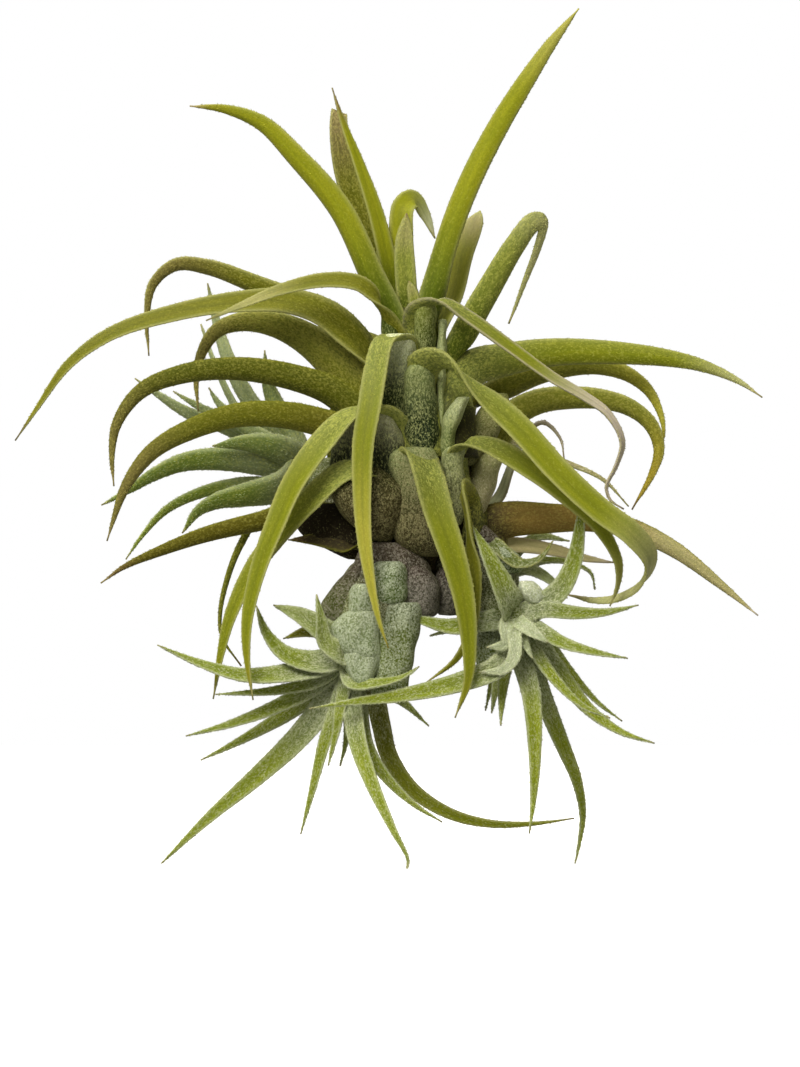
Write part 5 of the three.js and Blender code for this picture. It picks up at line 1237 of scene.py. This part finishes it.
# Scales
def felt(name, forms, per_mm2, size, seed, silver, low_cover=0.0):
    """Scales as small pointed spikes that lie along the skin and lift off it at their tips. There are none
    where the scales cover less of the skin than low_cover."""
    rng = np.random.default_rng(seed)
    silver = np.array(silver)
    parts = []
    for form in forms:
        round_form = isinstance(form, Shell)
        area = form.length * (form.girth if round_form else 2 * form.width(0.2))
        tries = int(area * per_mm2)
        share = form.spread(rng.uniform(0.01, 0.98, tries))
        across = rng.uniform(-1, 1, tries)
        through = np.where(rng.random(tries) < 0.5, 1.0, -1.0)
        if round_form:
            through = np.ones(tries)
        tint, cover = form.paint(share, across, through)
        keep = rng.random(tries) < cover - low_cover
        share, across, through, tint = share[keep], across[keep], through[keep], tint[keep]
        here = form.skin(share, across, through)
        ahead = unit(form.skin(share + STEP_ALONG, across, through) - here + NO_LENGTH)
        aside = unit(form.skin(share, across + STEP_ACROSS, through) - here + NO_LENGTH)
        out = unit(np.cross(ahead, aside) * through[:, None] + NO_LENGTH)
        # Some are nearly silver, and others hardly differ from the skin under them
        glint = rng.beta(1.6, 2.2, len(here))
        parts.append((here, ahead, out, blend(tint * 0.8, 0.5 * silver + 1.4 * tint, glint)))
        if not round_form:
            parts.append(fringe(form, rng, silver))
    here, ahead, out, tint = (np.vstack([part[k] for part in parts]) for k in range(4))
    swing = rng.normal(0, SCALE_SWING, len(here))
    long = size * rng.uniform(*SCALE_LENGTHS, len(here))
    return spiked(name, here, ahead, out, swing, long, tint, rng)


def fringe(form, rng, silver):
    """Places for the scales that stand out from a blade's two rims."""
    tries = int(form.length * 2 * FRINGE_PER_MM)
    share = form.spread(rng.uniform(0.03, 0.98, tries))
    across = np.where(rng.random(tries) < 0.5, 1.0, -1.0)
    through = rng.uniform(-0.6, 0.6, tries)
    here = form.skin(share, across, through)
    onward = unit(form.skin(share + STEP_ALONG, across, through) - here + NO_LENGTH)
    outward = unit(here - form.skin(share, across * 0.9, through) + NO_LENGTH)
    tint, _ = form.paint(share, across, through)
    lean = rng.uniform(*RIM_LEAN, tries)[:, None]
    ahead = unit(onward + outward * lean)
    out = unit(np.cross(np.cross(ahead, outward), ahead) + NO_LENGTH)
    return here, ahead, out, blend(tint, silver, rng.uniform(0.2, 0.8, tries))


def spiked(name, here, ahead, out, swing, long, tint, rng):
    """One mesh of many small closed spikes at the places given."""
    side = unit(np.cross(out, ahead))
    ahead = unit(ahead * np.cos(swing)[:, None] + side * np.sin(swing)[:, None])
    side = np.cross(out, ahead)
    long = long[:, None]
    lift = rng.uniform(*SCALE_LIFT, len(here))[:, None]
    base = here - out * SCALE_SINKS
    left = base - side * long * SCALE_HALF_WIDTH
    right = base + side * long * SCALE_HALF_WIDTH
    ridge = base + out * long * SCALE_RIDGE - ahead * long * SCALE_HEEL
    tip = base + ahead * long + out * long * lift
    points = np.stack([left, right, ridge, tip], 1).reshape(-1, 3)
    faces = np.array([[0, 1, 3], [0, 2, 1], [1, 2, 3], [0, 3, 2]])
    corners = (faces[None] + 4 * np.arange(len(here))[:, None, None]).reshape(-1, 3)
    mesh = bpy.data.meshes.new(name)
    mesh.from_pydata(in_frame(points).tolist(), [], corners.tolist())
    colours = mesh.attributes.new("skin_tint", "FLOAT_COLOR", "POINT")
    four = np.repeat(np.column_stack([tint, np.ones(len(tint))]), 4, axis=0)
    colours.data.foreach_set("color", four.ravel())
    mesh.update()
    return in_scene(name, mesh)


# Skins
def plug(tree, socket, value):
    """Links the value to the socket where it is a socket too, and otherwise sets it."""
    if isinstance(value, bpy.types.NodeSocket):
        tree.links.new(value, socket)
    else:
        socket.default_value = value


def plug_all(tree, made, values):
    for key, value in values.items():
        plug(tree, made.inputs[key], value)


def node(tree, kind, inputs=None, **settings):
    made = tree.nodes.new(kind)
    for key, value in settings.items():
        setattr(made, key, value)
    plug_all(tree, made, inputs or {})
    return made


def mixed(tree, share, first, second, kind="MIX"):
    """A colour mix. The share and both colours are sockets or values."""
    made = tree.nodes.new("ShaderNodeMix")
    made.data_type = "RGBA"
    made.blend_type = kind
    sockets = {i.identifier: i for i in made.inputs}
    for key, value in (("Factor_Float", share), ("A_Color", first), ("B_Color", second)):
        plug(tree, sockets[key], (*value, 1) if isinstance(value, tuple) else value)
    return {o.identifier: o for o in made.outputs}["Result_Color"]


def ramp(tree, value, source, target=(0, 1)):
    """The value, taken smoothly from one range to the other."""
    bounds = {"From Min": source[0], "From Max": source[1], "To Min": target[0], "To Max": target[1]}
    made = node(tree, "ShaderNodeMapRange", {"Value": value, **bounds}, interpolation_type="SMOOTHSTEP")
    return made.outputs["Result"]


def maths(tree, kind, first, second):
    made = node(tree, "ShaderNodeMath", operation=kind)
    for socket, value in zip(made.inputs, (first, second)):
        plug(tree, socket, value)
    return made.outputs["Value"]


def fresh_material(name):
    made = bpy.data.materials.new(name)
    made.use_nodes = True
    tree = made.node_tree
    shader = tree.nodes["Principled BSDF"]
    return made, tree, shader


def attribute(tree, name, output):
    return node(tree, "ShaderNodeAttribute", attribute_name=name).outputs[output]


def scaled(tree, place, factors):
    vectors = {0: place, 1: factors}
    return node(tree, "ShaderNodeVectorMath", vectors, operation="MULTIPLY").outputs["Vector"]


def noise(tree, **inputs):
    return node(tree, "ShaderNodeTexNoise", inputs).outputs["Fac"]


def skin_material(name, grain, long, scale_colour, strength, rough, sheen, relief, light_through):
    """Leaf skin: mottled green with fine streaks, felted with scales."""
    made, tree, shader = fresh_material(name)
    place = attribute(tree, "skin_place", "Vector")
    tint = attribute(tree, "skin_tint", "Color")
    cover = attribute(tree, "skin_cover", "Fac")

    # Curled scales, denser where the skin is covered more
    stretched = scaled(tree, place, (grain, grain / long, grain))
    curled = noise(tree, Vector=stretched, Scale=1.0, Detail=2.5, Roughness=0.6, Distortion=0.6)
    cells = node(tree, "ShaderNodeTexVoronoi", {"Vector": stretched, "Scale": 1.3})
    inside = ramp(tree, cells.outputs["Distance"], (0.25, 0.7), (1, 0.35))
    patchy = ramp(tree, noise(tree, Vector=place, Scale=0.35, Detail=3.0), (0.3, 0.7), (0.7, 1.2))
    felted = maths(tree, "MULTIPLY", cover, patchy)
    least = maths(tree, "SUBTRACT", 0.64, maths(tree, "MULTIPLY", felted, 0.24))
    over = maths(tree, "SUBTRACT", curled, least)
    scales = maths(tree, "MULTIPLY", inside, ramp(tree, over, (-0.04, 0.1)))

    # Streaks, mottle and fine grain of the green skin, with painted shade darkening the crevices between
    # scales
    streaks = noise(tree, Vector=scaled(tree, place, (1.5, 0.12, 1)), Scale=1.0, Detail=4.0)
    mottle = noise(tree, Vector=place, Scale=0.6, Detail=5.0)
    fine = noise(tree, Vector=place, Scale=5.0, Detail=3.0)
    darker = mixed(tree, 1.0, tint, (0.78, 0.82, 0.7), "MULTIPLY")
    lighter = mixed(tree, 1.0, tint, (1.14, 1.1, 1.08), "MULTIPLY")
    base = mixed(tree, ramp(tree, streaks, (0.3, 0.7)), darker, lighter)
    base = mixed(tree, ramp(tree, mottle, (0.35, 0.7), (0.5, 0)), base, tint)
    base = mixed(tree, ramp(tree, fine, (0.35, 0.65), (0.7, 0)), base, darker)
    between = ramp(tree, curled, (0.42, 0.6), (1, 0))
    crevice_shade = maths(tree, "MULTIPLY", between, maths(tree, "ADD", cover, 0.25))
    shadow = mixed(tree, 1.0, base, (0.5, 0.55, 0.35), "MULTIPLY")
    base = mixed(tree, maths(tree, "MULTIPLY", crevice_shade, 0.6), base, shadow)
    shown = maths(tree, "MULTIPLY", strength, ramp(tree, cover, (0, 0.7), (0.3, 1)))
    colour = mixed(tree, maths(tree, "MULTIPLY", scales, shown), base, scale_colour)

    # Relief
    uneven = maths(
        tree, "ADD", maths(tree, "MULTIPLY", streaks, 0.6), maths(tree, "MULTIPLY", fine, 0.5)
    )
    height = maths(tree, "ADD", maths(tree, "MULTIPLY", scales, 0.7), uneven)
    bump = node(tree, "ShaderNodeBump", {"Height": height, "Distance": relief * MM, "Strength": 0.8})

    plug_all(tree, shader, {
        "Base Color": colour,
        "Normal": bump.outputs["Normal"],
        "Roughness": ramp(tree, scales, (0, 1), (rough, min(1, rough + 0.2))),
        "Specular IOR Level": 0.12,
        "Sheen Weight": sheen,
        "Sheen Roughness": 0.4,
        "Sheen Tint": (0.9, 0.95, 0.4, 1),
        "Subsurface Weight": light_through,
        "Subsurface Radius": (0.9, 1.0, 0.3),
        "Subsurface Scale": 0.8 * MM,
    })
    return made


def scale_material(name):
    """The scales themselves, each in its own tint, which is mottled a little."""
    made, tree, shader = fresh_material(name)
    tint = attribute(tree, "skin_tint", "Color")
    where = node(tree, "ShaderNodeTexCoord").outputs["Object"]
    grain = noise(tree, Vector=where, Scale=900.0, Detail=3.0)
    deeper = mixed(tree, 1.0, tint, (0.75, 0.78, 0.7), "MULTIPLY")
    bump = node(tree, "ShaderNodeBump", {"Height": grain, "Distance": 0.02 * MM})
    plug_all(tree, shader, {
        "Base Color": mixed(tree, ramp(tree, grain, (0.3, 0.7)), deeper, tint),
        "Normal": bump.outputs["Normal"],
        "Roughness": 0.65,
        "Specular IOR Level": 0.2,
    })
    return made


def dress(piece, material, slot, *nodes):
    """Gives a piece its material, puts it under the root body, and hides the solids of the CAD that it
    stands for.
    """
    piece.data.materials.clear()
    piece.data.materials.append(material)
    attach(piece, "root")
    if nodes:
        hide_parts(*nodes)


# The view and the light
def set_view():
    data = bpy.data.cameras.new("view")
    data.lens = LENS
    data.sensor_width = SENSOR
    high_mm = PHOTO_HIGH / PIXELS_PER_MM
    away = high_mm * LENS / SENSOR
    data.clip_end = 100
    camera = in_scene("view", data)
    x, z = VIEW_MIDDLE
    camera.location = in_frame((x, -away, z))
    camera.rotation_euler = (math.radians(90), 0, 0)
    bpy.context.scene.camera = camera


def add_light(name, where, size, watts):
    data = bpy.data.lights.new(name, "AREA")
    data.shape = "DISK"
    data.size = size
    data.energy = watts
    data.color = LAMP_COLOUR
    lamp = in_scene(name, data)
    lamp.location = where
    lamp.rotation_euler = (Vector(LIT_PLACE) - Vector(where)).to_track_quat("-Z", "Y").to_euler()


def set_light():
    scene = bpy.context.scene
    scene.view_settings.view_transform = "Standard"
    world = bpy.data.worlds.new("studio")
    scene.world = world
    world.use_nodes = True
    tree = world.node_tree
    sky = tree.nodes["Background"]
    seen = node(tree, "ShaderNodeLightPath").outputs["Is Camera Ray"]
    plug_all(tree, sky, {
        "Color": mixed(tree, seen, SKY_AS_LIGHT, (1, 1, 1)),
        "Strength": ramp(tree, seen, (0, 1), (SKY_STRENGTH, 1)),
    })
    add_light("top", (-0.2, 0, 1.9), size=2.0, watts=22)
    add_light("key", (-0.65, -1.5, 1.4), size=1.2, watts=44)


def lay_floor():
    deselect()
    bpy.ops.mesh.primitive_plane_add(size=2.2, location=(0, 0, 0))
    floor = bpy.context.object
    floor.name = "floor"
    made, tree, shader = fresh_material("pale_floor")
    where = node(tree, "ShaderNodeTexCoord").outputs["Object"]
    cloudy = ramp(tree, noise(tree, Vector=where, Scale=3.0, Detail=2.0), (0.3, 0.7))
    white = mixed(tree, cloudy, *FLOOR_WHITES)
    seen = node(tree, "ShaderNodeLightPath").outputs["Is Camera Ray"]
    plug_all(tree, shader, {
        "Base Color": mixed(tree, seen, FLOOR_AS_LIGHT, white),
        "Roughness": 0.9,
        "Emission Color": (1, 1, 1, 1),
        "Emission Strength": maths(tree, "MULTIPLY", seen, FLOOR_GLOW),
    })
    floor.data.materials.append(made)


# Making the plant
def make_mother(skins, blank):
    """The mother's leaves, each in the place of its solid."""
    blades = {}
    for number, (name, leaf) in enumerate(MOTHER_LEAVES.items()):
        blades[name] = mother_blade(leaf, number)
        slot = SLOTS[leaf["tones"]]
        dress(lay(blank, f"mother_{name}", blades[name]), skins[slot], slot, f"leaf_{name}")
    return blades


def make_heart(skins, drum, leaf_blank):
    """The core of packed sheaths, and the rolled youngest leaf with the tiny new leaf beside it."""
    blades = {}
    for number, (name, (wide, path)) in enumerate(HEART_LEAVES.items()):
        blades[name] = heart_blade(wide, path, HEART_SEED + number)
        leaf = lay(leaf_blank, f"heart_{name}_leaf", blades[name])
        dress(leaf, skins["leaf_bright"], "leaf_bright", "heart")
    low_end, high_end = HEART_OUTLINE[0][0], HEART_OUTLINE[-1][0]
    rows = [((height - low_end) / (high_end - low_end), radius) for height, radius in HEART_OUTLINE]
    core = turned(
        drum, "heart_core", heart_axis(low_end), heart_axis(high_end), rows,
        ridges=7, root=BROWN_SHEATH, end=DARK_SHEATH, cover=0.5, seed=0,
    )
    dress(core, skins["heart"], "heart", "heart")
    return blades


def make_branch(skins, drum, pup, number):
    """The short branch from the heart to a pup."""
    foot, centre = np.array(pup["foot"]), np.array(pup["centre"])
    inner = heart_axis(foot[2] + 1) * 0.8 + foot * 0.2
    branch = turned(
        drum, f"heart_branch_{number}", inner, foot * 0.7 + centre * 0.3, BRANCH_ROWS,
        ridges=4, root=BROWN_SHEATH, end=BROWN_SHEATH, cover=0.3, seed=number,
    )
    dress(branch, skins["heart"], "heart", "heart")


def make_pup(skins, scale_skin, drum, leaf_blank, name, pup, number):
    """A young rosette: its bulb, its leaves, the pad-like leaves on the bulb, and its scales."""
    bulb = turned(
        drum, f"{name}_bulb", pup["foot"], pup["centre"], pup["bulb"],
        ridges=5, root=MAUVE_SHEATH, end=SILVER_GREEN, cover=0.8, seed=number,
    )
    dress(bulb, skins["leaf_silver"], "leaf_silver", name)
    seed = PUP_SEED + 20 * number
    blades = [pup_blade(pup, leaf, i, seed + i) for i, leaf in enumerate(pup["leaves"])]
    leaves = [lay(leaf_blank, f"{name}_leaf_{i}", blade) for i, blade in enumerate(blades)]
    slot = SLOTS[pup.get("tones", "pup")]
    dress(joined(leaves, f"{name}_leaves"), skins[slot], slot, name)
    pads = []
    for i, (tones, rows) in enumerate(PUP_SHEATHS.get(name, [])):
        pads.append(Shell(rows, PAD_TONES[tones], i, PAD_ROUNDING))
        skin = skins["mauve" if tones in MAUVE_PADS else "pad"]
        dress(swell(drum, f"{name}_young_{i}", pads[-1]), skin, "leaf_silver", name)
    scales = felt(
        f"{name}_scales", blades + pads, per_mm2=7, size=0.3, seed=10 + number, silver=SILVER_SCALE
    )
    dress(scales, scale_skin, "leaf_silver")


def make_sheaths(skins, drum):
    """The swollen sheaths at the front of the bulb, which go with the solids of their leaves."""
    shells = []
    for number, (name, rows) in enumerate(FRONT_SHEATHS.items()):
        shells.append(Shell(rows, SHEATH_TONES[name], number))
        brown = name in BROWN_SHEATHS
        slot = "heart" if brown else SLOTS[MOTHER_LEAVES[name]["tones"]]
        skin = skins["heart" if brown else "sheath"]
        dress(swell(drum, f"mother_{name}_sheath", shells[-1]), skin, slot, f"leaf_{name}")
    return shells


def make_mother_scales(scale_skin, shells, blades):
    """Scales on the sheaths, and two kinds on the leaves: golden on the olive ones, lime on the others."""
    golden, lime = [], []
    for name, blade in blades.items():
        tones = MOTHER_LEAVES[name]["tones"] if name in MOTHER_LEAVES else "sheen"
        (golden if tones in GOLDEN_TONES else lime).append(blade)
    on_sheaths = felt("sheath_scales", shells, per_mm2=11, size=0.32, seed=30, silver=SHEATH_SCALE)
    dress(on_sheaths, scale_skin, "leaf_silver")
    of_lime = felt(
        "mother_silver_scales", lime, per_mm2=5, size=0.28, seed=31, silver=LIME_SCALE, low_cover=0.12
    )
    dress(of_lime, scale_skin, "leaf_silver")
    of_gold = felt(
        "mother_golden_scales", golden, per_mm2=5, size=0.28, seed=32, silver=GOLD_SCALE, low_cover=0.15
    )
    dress(of_gold, scale_skin, "leaf_olive")


set_view()
set_light()
lay_floor()

skins = {slot: skin_material(*values) for slot, values in SKINS.items()}
scale_skin = scale_material("scale_skin")
mother_blank = blade_blank("mother_blank", *MOTHER_MESH)
pup_blank = blade_blank("pup_blank", *PUP_MESH)
drum_blank = turned_blank("drum_blank", *DRUM_MESH)

mother_blades = make_mother(skins, mother_blank)
heart_blades = make_heart(skins, drum_blank, pup_blank)
for pup_number, (pup_name, pup) in enumerate(PUPS.items()):
    make_branch(skins, drum_blank, pup, pup_number)
    make_pup(skins, scale_skin, drum_blank, pup_blank, pup_name, pup, pup_number)
make_mother_scales(scale_skin, make_sheaths(skins, drum_blank), {**mother_blades, **heart_blades})

for blank in (mother_blank, pup_blank, drum_blank):
    bpy.data.objects.remove(blank)
